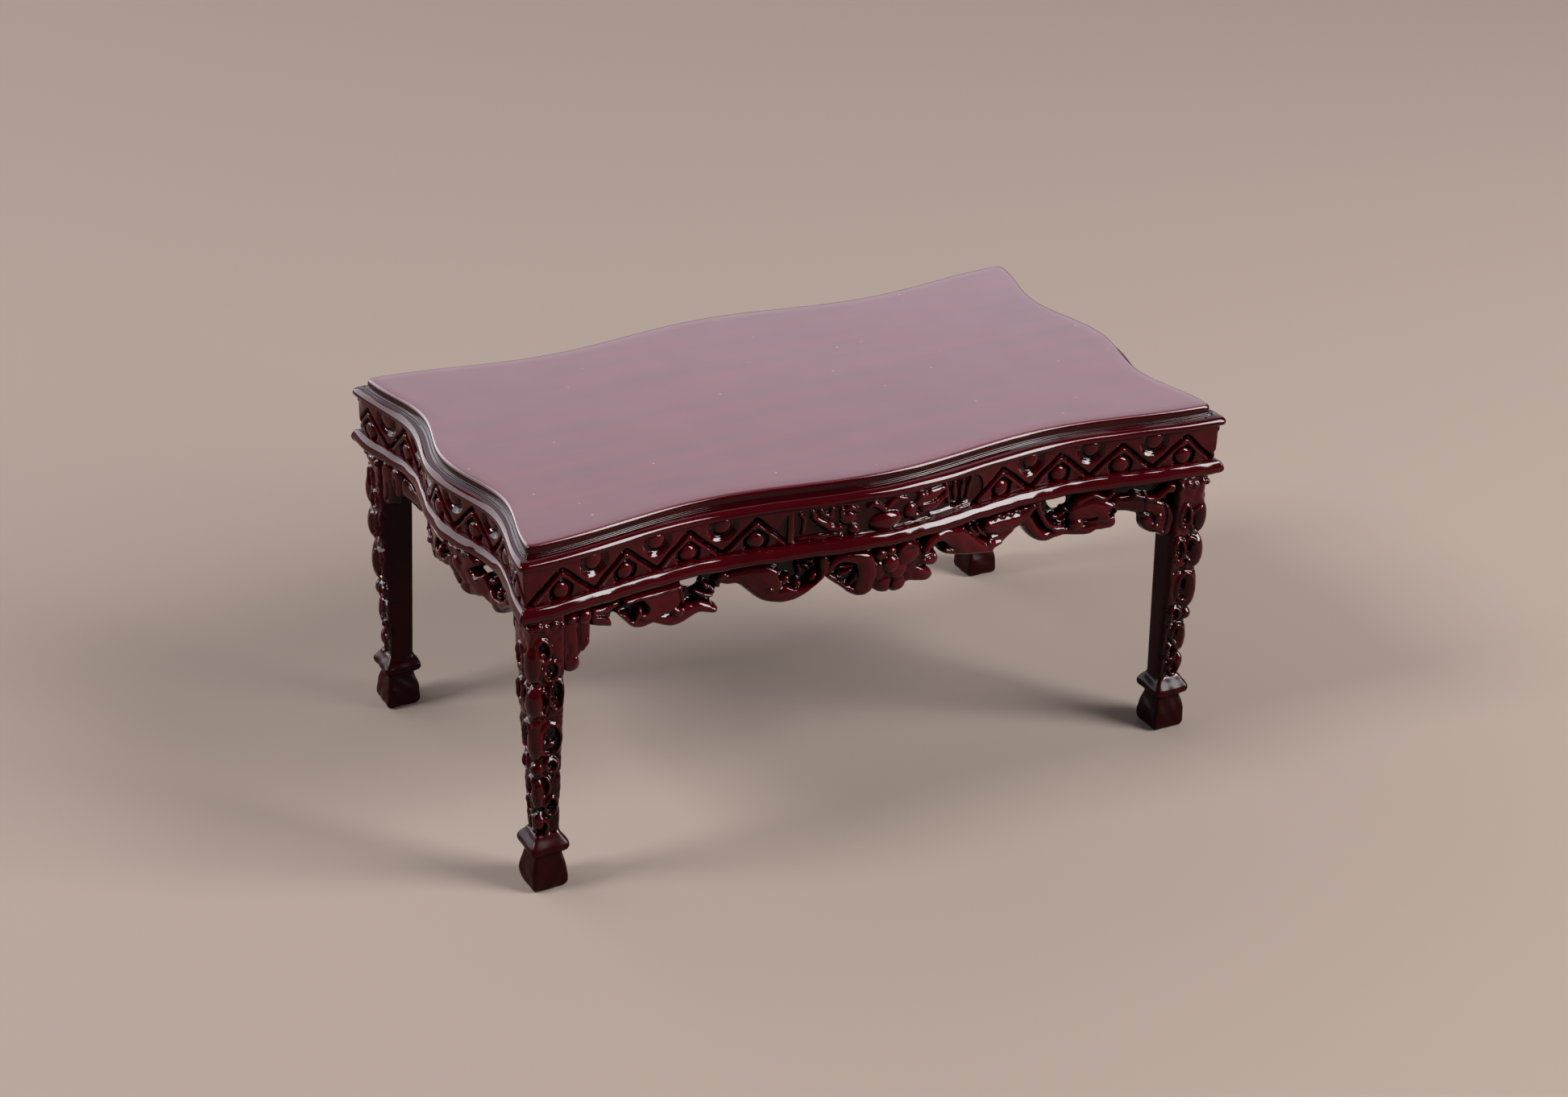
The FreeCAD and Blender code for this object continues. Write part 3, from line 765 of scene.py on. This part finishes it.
def left_lobe(r):
    """A plump lobe with a bowl scooped out of it."""
    r.ridge([(-17.3, 29.2), (-16, 28.9), (-14.6, 28.7), (-13, 28.3), (-12.3, 27.9)],
            [0.4, 0.7, 1.1, 1.5, 1.5], [0.3, 0.3, 0.4, 0.45], 0.35)
    r.ridge([(-14.2, 27.8), (-12.7, 26.7), (-10.6, 26.25), (-8.6, 26.6), (-7, 27.7)],
            [0.8, 0.95, 0.95, 0.85, 0.7], 0.4, 0.45)
    r.hollow((-9, 28.9), (2.15, 1.95), -0.95, 0.5)
    r.ridge([(-6.6, 29.7), (-6.4, 28.8), (-6.4, 28.2)], [0.4, 0.55, 0.4], 0.35, 0.4)
    r.boss((-10.5, 27.8), (0.55, 0.4), 0.05, 0.35, 30)
    r.boss((-9.2, 27.2), (0.35, 0.35), 0.1, 0.3)
    r.boss((-7.6, 27.8), (0.55, 0.28), 0.15, 0.3, 50)
    r.boss((-12.3, 27.3), (0.4, 0.25), 0.6, 0.25, -20)
    for points in ([(-9.1, 29.3), (-8.9, 28.7), (-8.9, 28.3)], [(-8.6, 29.2), (-8.2, 29), (-7.9, 28.6)],
                   [(-8.1, 29.6), (-7.7, 29.4), (-7.4, 29)]):
        r.ridge(points, [0.14, 0.22, 0.14], -0.25, 0.25)


def comma(r):
    """A curled leaf with a crescent scooped from its left side."""
    r.ridge([(-5.9, 28.3), (-5.5, 29.2), (-4.6, 29.6), (-3.2, 29.3), (-2.2, 28.6), (-1.9, 27.4),
             (-2.3, 25.9)], [0.3, 0.45, 0.5, 0.65, 0.95, 1.1, 1], 0.45, 0.45)
    r.ridge([(-5.9, 27.6), (-4.9, 26.8), (-3.9, 25.8), (-2.9, 25.2)], [0.3, 0.4, 0.45, 0.4], 0.2)
    r.trench([(-5.2, 28.3), (-4.5, 27.6), (-3.9, 26.7)], [0.35, 0.6, 0.35], -0.6)
    for points in ([(-4.9, 28.5), (-4.2, 28.4), (-3.5, 28.5)], [(-4.7, 27.7), (-4.2, 27.7), (-3.7, 27.9)],
                   [(-3.8, 26.4), (-3.3, 26.8), (-3.1, 27.3)]):
        r.ridge(points, [0.12, 0.22, 0.14], 0, 0.25)


def flower(r):
    """A round eye in a whorl of blunt petals."""
    r.boss((2.2, 26.9), (3.9, 2.3), 0.1, 0.25)
    r.boss((0.1, 25.7), (1.05, 1), 0.28, 0.35, 20)
    r.boss((1.7, 25.4), (0.95, 0.95), 0.32)
    r.boss((3.1, 26.3), (0.75, 1.1), 0.28, 0.3, -10)
    r.boss((4.5, 25.8), (1.6, 0.95), 0.36, 0.4, -8)
    r.boss((5.4, 27.1), (1.2, 0.75), 0.32, 0.35, -12)
    r.boss((-0.6, 27.3), (0.7, 0.95), 0.25, 0.3)
    r.boss((1.6, 27), (1.05, 0.95), 0.42, 0.4)
    r.boss((0.7, 27.9), (0.95, 0.95), 0.6, 0.55)
    r.boss((-0.4, 29), (0.65, 0.55), 0.35, 0.3)
    r.boss((0.7, 29.3), (0.6, 0.45), 0.45, 0.3)
    r.boss((2.8, 28.5), (1.35, 1.25), 0.52, 0.45)
    r.ridge([(1.7, 29.3), (2.5, 29.75), (3.5, 29.3)], [0.22, 0.26, 0.2], 0.62, 0.2)
    r.groove([(0.9, 26.2), (0.8, 25.4), (0.9, 24.8)], 0.2, 0.3)
    r.groove([(4, 26.9), (4.6, 26.6), (5.6, 26.5)], 0.2, 0.3)
    r.groove([(4.8, 27.4), (5.3, 27.6), (6, 27.5)], 0.14, 0.22)


def hood(r):
    """A leaf that arches over and sweeps down to the right, with a fringe above it."""
    r.ridge([(4.7, 28.2), (5.5, 29.1), (7, 29.3), (8.8, 28.6), (10.4, 27.4), (12, 26.5),
             (13.2, 26.1)], [0.35, 0.6, 0.85, 1.1, 1.15, 0.85, 0.5], 0.5, 0.5)
    r.ridge([(7.6, 27.4), (9.5, 26.8), (11.5, 26.3)], [0.3, 0.45, 0.3], 0.15)
    r.trench([(5.5, 28.2), (6.4, 28.4), (7.3, 27.9)], [0.2, 0.35, 0.25], -0.6, 0.2)
    for k in range(5):
        foot = 9.6 + 0.95 * k
        r.ridge([(foot, 29.5 - 0.25 * k), (foot + 0.5, 28.8 - 0.25 * k), (foot + 1.2, 28.3 - 0.3 * k)],
                [0.14, 0.26, 0.14], 0.15)
    r.ridge([(13.1, 28.6), (14.5, 28.5), (16.2, 28.5), (17.6, 28.9), (18.4, 29.6)],
            [0.8, 1, 0.95, 0.7, 0.5], 0.45, 0.5)
    r.ridge([(13.4, 27.2), (14.4, 27.1), (15.8, 27.7)], [0.5, 0.8, 0.5], 0.35, 0.45)
    r.ridge([(13, 26.9), (13.6, 26.6), (14.4, 26.7)], [0.4, 0.45, 0.3], 0.55, 0.35)
    for k in range(4):
        start = 13.6 + 1.1 * k
        r.ridge([(start, 29.3 + 0.05 * k), (start + 0.5, 29.6), (start + 1, 29.4)], 0.16, 0.3, 0.2)


def right_scroll(r):
    """A thin curling rim round a deep eye, and a plump body beside it."""
    r.ridge([(17.6, 28.3), (18.2, 27.3), (19, 26.4), (20.3, 25.8), (22, 25.9)],
            [0.8, 0.75, 0.7, 0.6, 0.5], 0.35, 0.45)
    r.ridge([(18.9, 30.1), (19.3, 28.8), (20.1, 27.5), (21.2, 26.6), (22.2, 26.3)],
            [0.35, 0.3, 0.28, 0.28, 0.3], 0.45)
    r.ridge([(24, 27.9), (25.4, 27.9), (27, 27.4)], [1.2, 1.5, 1.3], 0.5, 0.5)
    r.ridge([(22.4, 25.9), (24.5, 25.7), (26.3, 26), (27.6, 26.2)], [0.5, 0.65, 0.6, 0.7], 0.3, 0.4)
    r.boss((23.7, 26.6), (0.85, 0.8), 0.7, 0.55)
    r.trench([(21.6, 29.6), (21.5, 28.6), (21.9, 27.6)], [1.05, 0.95, 0.55], -0.95)
    for points in ([(21.1, 27.8), (21.6, 27.6), (22.3, 27.9)], [(21.6, 27.2), (22.1, 27), (22.5, 27.2)],
                   [(22.3, 28.7), (22.6, 28.2), (23, 28)]):
        r.ridge(points, 0.2, -0.1, 0.25)
    r.trench([(24.6, 27.1), (25.2, 26.9), (25.9, 27)], 0.16, -0.1, 0.2)
    r.ridge([(23.6, 29.1), (25.3, 29.6), (26.7, 29.1), (27.6, 29.6)], 0.22, 0.45, 0.2)
    r.hollow((27.7, 27.4), (0.35, 0.45), -0.4, 0.3)


def right_leaf(r):
    """A low leaf that runs on into the bracket."""
    r.ridge([(28.6, 28.2), (30, 28), (31.8, 27.6)], [0.9, 1, 1.2], 0.1, 0.5)
    r.ridge([(30.2, 29), (31, 28.6), (31.8, 28.5)], 0.2, 0.3, 0.2)


def draw_long_skirt(r):
    for motif in (left_leaf, left_scroll, left_lobe, comma, flower, hood, right_scroll, right_leaf):
        motif(r)
    r.keep_inside(LONG_HEM)
    for hole in LONG_HOLES:
        r.pierce(hole)


SHORT_END = limit("skirt_right", HIGH, Y)
SHORT_HEM = [
    [(-13.2, 26.5), (-12, 26.2)],
    [(-10.8, 26.7), (-9.6, 27.1), (-8.4, 27)],
    [(-8.6, 26), (-9, 25)],
    [(-7.6, 25.4), (-6.6, 25.9), (-5.6, 26.1)],
    [(-4.5, 25.5), (-3.3, 25.2), (-2, 25.6), (-0.4, 26.3), (0.8, 26.3)],
    [(2.2, 25.9), (3.2, 25.2), (4.5, 25), (5.8, 25.3), (7, 25.7)],
    [(8.2, 25.3), (9.3, 25), (10.3, 25.4), (11.2, 26.4)],
    [(12.4, 26.8), (SHORT_END, 27)],
    [(SHORT_END, ABOVE)], [(-SHORT_END, ABOVE)], [(-SHORT_END, 27)],
]
SHORT_HOLE = [[(7.6, 30)], [(7.9, 29.3), (6.2, 27.8), (5.2, 28)]]


def draw_short_skirt(r):
    """The long skirt's motifs, moved along and some of them mirrored."""
    for motif, shift, flip in ((right_leaf, 43.6, -1), (left_leaf, 43.6, -1), (right_leaf, -43.2, 1),
                               (left_scroll, -26.8, -1), (comma, 7, -1), (flower, 2.4, 1),
                               (left_lobe, 18.6, 1)):
        r.move_to(shift, flip)
        motif(r)
    r.move_to(0)
    r.ridge([(-14.9, 28.2), (-12.5, 27.7), (-10.5, 28.1), (-9.2, 28.6)], [1.1, 0.9, 0.7, 0.5], 0.2, 0.5)
    r.keep_inside(SHORT_HEM)
    r.pierce(SHORT_HOLE)


def make_skirt(side, seed):
    """Carves one side's skirt and cuts it to its hem."""
    half = limit("skirt_front", HIGH, X) if side.is_long else SHORT_END
    low = limit("skirt_front", LOW, Z) - 0.6
    r = Relief((-half - 0.3, half + 0.3), (low, SKIRT_TOP + 0.4), 0, SKIRT_GROUND, seed)
    (draw_long_skirt if side.is_long else draw_short_skirt)(r)
    r.ease_edges(0.5, 0.25)
    r.roughen(seed + 7)
    r.trim(np.maximum(np.abs(r.s)[:, None] - half, r.z[None, :] - SKIRT_TOP))
    carve_board("skirt_board_" + side.name, side, r, SKIRT_BACK, "skirt_" + side.name)


# ---- brackets beside the legs

BRACKET_END = limit("bracket_back_right_long", HIGH, X) + 0.4
LONG_BRACKET = [
    [(31.5, 28.7), (31.65, 27.4), (31.75, 26.4), (32.3, 25.4)],
    [(33, 25.3)],
    [(32.75, 24.5), (33.1, 23.8), (33.9, 23.5)],
    [(BRACKET_END, 23.7)], [(BRACKET_END, ABOVE)], [(31.4, ABOVE)],
]
RIGHT_BRACKET = [
    [(31.2, 27.6), (31, 26.3)],
    [(31.15, 25.4), (31.6, 24.7), (32.4, 24.2)],
    [(33.2, 24.1), (33.7, 23.6), (34.4, 23.3)],
    [(BRACKET_END, 23.6)], [(BRACKET_END, ABOVE)], [(31.1, ABOVE)],
]
SHORT_BRACKET_END = limit("bracket_back_right_short", HIGH, Y) + 0.4
SHORT_BRACKET = [
    [(SHORT_END - 0.2, 27)],
    [(15.3, 26.3), (16, 26.2)],
    [(16.2, 25.4), (17, 24.9), (17.8, 24.9)],
    [(SHORT_BRACKET_END, 25.2)], [(SHORT_BRACKET_END, ABOVE)], [(SHORT_END - 0.2, ABOVE)],
]


def long_bracket(r):
    """Two drooping lobes, the lower beside the leg, under a row of knobs."""
    r.ridge([(32.5, 28.8), (32.4, 27.2), (32.4, 26.3)], [0.9, 0.95, 0.85], 0.25, 0.4)
    r.ridge([(33.9, 28.6), (33.9, 26.5), (33.7, 24.6)], [0.9, 1.05, 0.95], 0.42, 0.4)
    r.groove([(33.15, 28.3), (33, 27), (33.2, 26)], 0.28, 0.18)
    r.groove([(34.3, 26.9), (34.15, 26.2), (34.4, 25.6)], 0.3, 0.14)
    r.boss((32.2, 26.5), (0.45, 0.6), 0.42)
    r.boss((33.5, 24.9), (0.5, 0.62), 0.6)
    r.boss((32.3, 29.25), (0.85, 0.62), 0.65, 0.45)
    r.boss((33.8, 29.5), (0.6, 0.36), 0.6)
    r.keep_inside(LONG_BRACKET)


def right_bracket(r):
    """The band of the last leaf run on round the corner, with a curl above it."""
    r.ridge([(31, 27.3), (32, 27.2), (33.2, 26.6), (34.6, 25.6)], [1, 1.1, 1.2, 1.2], 0.25, 0.4)
    r.ridge([(31.8, 25.7), (32.6, 25.2), (34, 24.6)], [0.7, 0.9, 0.9], 0.3, 0.4)
    r.ridge([(30.9, 28.8), (31.6, 28.4), (32.6, 28.4), (33.4, 28.9), (34, 29.5)], 0.28, 0.5, 0.25)
    r.boss((33, 26.1), (0.42, 0.5), 0.5)
    r.boss((32.7, 24.95), (0.45, 0.42), 0.48)
    r.boss((34.2, 29.3), (0.6, 0.5), 0.55)
    r.groove([(31.4, 26.9), (32.3, 26.4), (32.5, 25.6)], 0.22, 0.35)
    r.groove([(33.7, 27.6), (34, 26), (33.8, 24.4)], 0.22, 0.35)
    r.keep_inside(RIGHT_BRACKET)


def short_bracket(r):
    """The same lobes, shorter."""
    r.ridge([(15.4, 29.4), (15.5, 28.2), (15.4, 27.2)], [0.9, 0.9, 0.6], 0.25, 0.45)
    r.ridge([(17.2, 29), (17.1, 27.3), (17.2, 25.9)], [0.95, 0.95, 0.75], 0.35, 0.45)
    r.groove([(15.7, 28.4), (15.6, 27.6), (15.8, 26.9)], 0.2, 0.4)
    r.groove([(16.9, 27.6), (16.8, 26.6), (17, 25.8)], 0.18, 0.4)
    r.boss((15.3, 29.3), (0.7, 0.5), 0.5)
    r.keep_inside(SHORT_BRACKET)


def make_bracket(side, way, corner):
    """One bracket, way along its side, next to the named leg."""
    if side.is_long:
        start, end, low = 30.8, BRACKET_END, 22.9
        draw, node = long_bracket if way < 0 else right_bracket, "bracket_" + corner + "_long"
    else:
        start, end, low = SHORT_END - 0.4, SHORT_BRACKET_END, 24.3
        draw, node = short_bracket, "bracket_" + corner + "_short"
    s_range = sorted((way * (start - 0.2), way * (end + 0.2)))
    r = Relief(s_range, (low, SKIRT_TOP + 0.4), 0, SKIRT_GROUND, 60 + side.turns * 2 + way)
    r.move_to(0, way)
    draw(r)
    r.trim(r.z[None, :] - SKIRT_TOP)
    r.ease_edges(0.4, 0.2)
    carve_board(node.replace("bracket", "bracket_carving"), side, r, SKIRT_BACK, node)


# ---- the legs

LEG_TOP = BEAD_BOTTOM + 0.1
OUTER_LEVELS = [6, 6.8, 10, 14, 19, 23, 30.4]
OUTER_HALF = [1.38, 1.38, 1.5, 1.7, 2, 2.12, 2.2]
INNER_LEVELS = [6, 23, 30.4]
INNER_HALF = [1.4, 1.75, 1.75]
# The cups cut in a leg's face: each level, half height, place across the face and half width.
LEFT_CUPS = [(7, 0.8, 0.65, 0.45), (9.3, 0.75, -0.35, 0.42), (11.7, 1, 0.6, 0.58),
             (14, 0.5, -0.3, 0.42), (17, 1.6, -0.15, 0.92), (21.9, 1.35, -0.8, 0.55),
             (21.4, 1.1, 0.7, 0.42), (24.7, 0.85, -0.2, 0.62), (27, 1, 0.65, 0.5)]
RIGHT_CUPS = [(7.3, 0.6, 0.3, 0.42), (9.3, 0.65, -0.2, 0.4), (11.4, 0.9, 0.35, 0.5),
              (14, 0.55, -0.4, 0.42), (17.3, 1.4, 0.35, 0.8), (21.8, 1.1, 0.65, 0.52),
              (21.9, 0.95, -0.8, 0.42), (25.2, 1.25, 1.1, 0.6), (25.9, 1, -0.5, 0.48)]
KNOBS = [(-1.45, 29.5), (-0.55, 29.7), (0.35, 29.45), (1.15, 29.7), (1.95, 29.55)]
WAISTS = [9, 12.8, 14.9, 19.4, 23.4]
WAIST_CUT, WAIST_SPREAD = 0.18, 0.38
RIM_TOP, CUP_FLOOR = 0.14, -0.8
FACE_SLOPE = 1.6  # the usual steepness of the carving, which turns its heights into distances
# The rounded pods down a leg's outer corner: bottom, top, place out from the leg's middle, radius.
PODS = [(6.7, 8.9, 0.88, 0.6), (9.2, 12.6, 0.92, 0.66), (12.9, 14.5, 1.05, 0.68),
        (14.8, 19.2, 1.15, 0.82), (19.6, 23.2, 1.38, 0.86), (23.6, 27.6, 1.45, 0.88)]
POD_DRIFT, POD_SWAY = 0.2, 0.05  # how far the pods stray along the corner and out from it
LEG_CORNER_ROUND = 0.55
PLAIN_SHADE_LEVEL = 0.12  # the painted shade level on a leg's uncarved faces
# painted shade levels on the foot, the darker, and on the collar
FOOT_SHADE_LEVEL, COLLAR_SHADE_LEVEL = 0.36, 0.22
COLLAR_TOP, COLLAR_WIDEST = 6.15, 4.7
COLLAR_LEVELS = [3.85, 4.1, 4.35, 4.7, 5.05, 5.35, 5.7, 6.2]
COLLAR_HALF = [1.3, 1.72, 1.97, 2.07, 2.04, 1.86, 1.58, 1.3]
FOOT_LEVELS = [0, 0.2, 0.6, 1.3, 2.2, 3, 3.6, 4.6]
FOOT_HALF = [1.6, 1.78, 1.9, 1.9, 1.8, 1.6, 1.46, 1.42]


def leg_face(seed, cups):
    """The carving of a leg's outer face, measured from the leg's tapering envelope."""
    r = Relief((-2.6, 2.9), (-0.4, LEG_TOP + 0.4), 0, -0.22, seed)
    turn = np.linspace(0, 2 * np.pi, 15)
    for level, tall, across, wide in cups:
        r.boss((across, level), (wide + 0.48, tall + 0.5), RIM_TOP, 0.4)
    for level, tall, across, wide in cups:
        rim = np.column_stack([across + (wide + 0.55) * np.cos(turn),
                               level + (tall + 0.6) * np.sin(turn)])
        r.groove(rim, 0.26, 0.12)
        r.hollow((across, level), (wide, tall), CUP_FLOOR, 0.5)
        r.boss((across - 0.05, level - 0.55 * tall), (0.7 * wide, 0.34 * tall), -0.36, 0.25)
    for across in (0.15, 1.35):
        r.groove([(across, 22.8), (across + 0.05, 21.2), (across, 19.8)], 0.2, 0.3)
    for across, level in KNOBS:
        r.boss((across, level), (0.46, 0.42), 0.1)
    for level in WAISTS:
        r.height -= WAIST_CUT * np.exp(-((r.at_z - level) / WAIST_SPREAD) ** 2)
    r.height += 0.05 * ripple(seed + 7, r.at_s, r.at_z, length=1.8)
    r.height += np.where(r.height < -0.35, 0.07 * ripple(seed + 9, r.at_s, r.at_z, length=0.9), 0)
    r.height = np.minimum(r.height, RIM_TOP) + np.interp(r.z, OUTER_LEVELS, OUTER_HALF)[None, :]
    return r


def make_leg(corner, way_x, way_y, seed):
    """A square leg carved on its two outer faces, with a flared collar and foot."""
    cups = (LEFT_CUPS, RIGHT_CUPS) if way_x * way_y < 0 else (RIGHT_CUPS, LEFT_CUPS)
    face_x, face_y = leg_face(seed, cups[0]), leg_face(seed + 1, cups[1])
    across, up = face_x.s, face_x.z
    x, y, z = across[:, None, None], across[None, :, None], up[None, None, :]
    inner = np.interp(z, INNER_LEVELS, INNER_HALF)
    outer = smooth_max((x - face_x.height[None, :, :]) / FACE_SLOPE,
                       (y - face_y.height[:, None, :]) / FACE_SLOPE, LEG_CORNER_ROUND)
    rng = np.random.default_rng(seed + 3)
    for low, high, out, radius in PODS:
        low += rng.uniform(-POD_DRIFT, POD_DRIFT)
        high += rng.uniform(-POD_DRIFT, POD_DRIFT)
        out += rng.uniform(-POD_SWAY, POD_SWAY)
        pod = np.sqrt(((x - out) / radius) ** 2 + ((y - out) / radius) ** 2
                      + ((2 * z - low - high) / (high - low)) ** 2)
        outer = smooth_min(outer, (pod - 1) * radius, 0.2)
    shaft = smooth_max(outer, smooth_max(-inner - x, -inner - y, LEG_CORNER_ROUND), LEG_CORNER_ROUND)
    shaft = np.maximum(np.maximum(shaft, COLLAR_WIDEST - z), z - LEG_TOP)

    uneven = 0.05 * ripple(seed + 2, x, y, z, length=3.6)
    square = smooth_max(np.abs(x), np.abs(y), 0.45) + uneven
    collar = (square - np.interp(z, COLLAR_LEVELS, COLLAR_HALF)) * 0.8
    collar = smooth_max(collar, np.abs(z - 5) - 1.2, 0.15)
    foot = smooth_max(square - np.interp(z, FOOT_LEVELS, FOOT_HALF), z - COLLAR_WIDEST, 0.1)
    foot = smooth_max(foot, 0.02 - z, 0.15)

    field = smooth_min(smooth_min(shaft, collar, 0.15), foot, 0.12)
    field = np.maximum(field, -z)
    close_ends(field)
    points, quads = skin(field, (across[0], across[0], up[0]))
    px, py, pz = points.T
    depth_x = sampled(face_x.height, face_x, py, pz) - px
    depth_y = sampled(face_y.height, face_y, px, pz) - py
    depth = np.minimum(depth_x, depth_y)
    # painted shade from the faces' pits, lighter on plain faces, and set levels on the foot and collar
    painted_shade = np.where(depth_x < depth_y, sampled(face_x.painted_shade(), face_x, py, pz),
                      sampled(face_y.painted_shade(), face_y, px, pz))
    painted_shade = np.where(depth < -0.1, FLAT_SHADE_LEVEL, painted_shade)
    inward = np.clip((depth - 0.05) / 0.45, 0, 1)
    painted_shade += (PLAIN_SHADE_LEVEL - painted_shade) * inward
    painted_shade = np.where(pz < COLLAR_TOP, np.interp(pz, [3.7, 4.3], [FOOT_SHADE_LEVEL, COLLAR_SHADE_LEVEL]), painted_shade)
    plain = (np.minimum(px, py) + np.interp(pz, INNER_LEVELS, INNER_HALF) < 0.25) | (pz < COLLAR_TOP)
    if way_x * way_y < 0:
        quads = quads[:, ::-1]  # a mirrored leg would be inside out
    place = np.column_stack([way_x * (LEG_X + px), way_y * (LEG_Y + py), pz])
    leg = add_piece("leg_carving_" + corner, place, quads.tolist(), painted_shade, CARVED,
                    "leg_" + corner)
    leg.data.materials.append(PLAIN)
    leg.data.polygons.foreach_set("material_index", plain[quads].all(axis=1).astype(np.int32))


# ---- making the table

CORNERS = {"front_left": (-1, -1), "front_right": (1, -1), "back_left": (-1, 1), "back_right": (1, 1)}
ROUND_THE_TABLE = ["front_left", "front_right", "back_right", "back_left"]

make_top()
for number, side in enumerate(SIDES):
    make_bead(side, 20 + 3 * number)
    make_frieze(side, 30 + number)
    make_skirt(side, 40 + number)
for number, (corner, ways) in enumerate(CORNERS.items()):
    make_leg(corner, *ways, 80 + 10 * number)
for side in SIDES:
    make_bracket(side, -1, ROUND_THE_TABLE[side.turns])
    make_bracket(side, 1, ROUND_THE_TABLE[(side.turns + 1) % 4])


# ---- floor, light and camera

FLOOR_COLOUR = (0.155, 0.124, 0.106, 1)
FLOOR_REACH = 3.0  # metres
SKY_COLOUR, SKY_STRENGTH = (0.80, 0.86, 0.90, 1), 0.10
LIGHT_TARGET = Vector((0, 0, 0.02))


def pale_floor():
    mesh = bpy.data.meshes.new("studio_floor")
    corners = [(x * FLOOR_REACH, y * FLOOR_REACH, 0) for x, y in ((-1, -1), (1, -1), (1, 1), (-1, 1))]
    mesh.from_pydata(corners, [], [(0, 1, 2, 3)])
    material = bpy.data.materials.new("studio_floor")
    material.use_nodes = True
    shader = material.node_tree.nodes["Principled BSDF"]
    shader.inputs["Base Color"].default_value = FLOOR_COLOUR
    shader.inputs["Specular IOR Level"].default_value = 0.0
    mesh.materials.append(material)
    floor = add_object("studio_floor", mesh)


def soft_box(name, azimuth, elevation, distance, size, strength, colour=(1, 1, 1)):
    """An area light that faces the table, with azimuth turned from -Y towards +X."""
    a, e = math.radians(azimuth), math.radians(elevation)
    way = Vector((math.sin(a) * math.cos(e), -math.cos(a) * math.cos(e), math.sin(e)))
    data = bpy.data.lights.new(name, "AREA")
    data.shape = "RECTANGLE"
    data.size, data.size_y = size
    data.color = colour
    data.energy = strength * size[0] * size[1] * math.pi
    light = add_object(name, data)
    light.location = way * distance + LIGHT_TARGET
    light.rotation_euler = way.to_track_quat("Z", "Y").to_euler()


pale_floor()
soft_box("key", 47, 31, 0.60, (0.24, 0.46), 34.0)
soft_box("left_window", -97, 44, 0.70, (0.19, 0.21), 54.0)
soft_box("low_left", -144, 22, 0.80, (0.85, 0.62), 6.0, (0.94, 0.94, 1.0))
soft_box("behind", 151, 34, 0.90, (0.90, 0.80), 1.56, (0.95, 0.88, 1.0))

scene = bpy.context.scene
scene.world = bpy.data.worlds.new("studio")
scene.world.use_nodes = True
sky = scene.world.node_tree.nodes["Background"]
sky.inputs["Color"].default_value = SKY_COLOUR
sky.inputs["Strength"].default_value = SKY_STRENGTH

CAMERA_PLACE = Vector((-135.23, -249.31, 166.58))
CAMERA_TURN, CAMERA_DOWN, CAMERA_ROLL = -28.48, 27.36, 1.74
SENSOR_WIDTH, FOCAL_LENGTH = 36.0, 69.25

camera_data = bpy.data.cameras.new("camera")
camera_data.sensor_width = SENSOR_WIDTH
camera_data.lens = FOCAL_LENGTH
camera_data.clip_start = 0.01
camera = add_object("camera", camera_data)
camera.location = CAMERA_PLACE * MM
aim = Euler((math.radians(90 - CAMERA_DOWN), 0, math.radians(CAMERA_TURN))).to_matrix()
camera.rotation_euler = (aim @ Matrix.Rotation(math.radians(CAMERA_ROLL), 3, "Z")).to_euler()
scene.camera = camera
scene.view_settings.view_transform = "Standard"
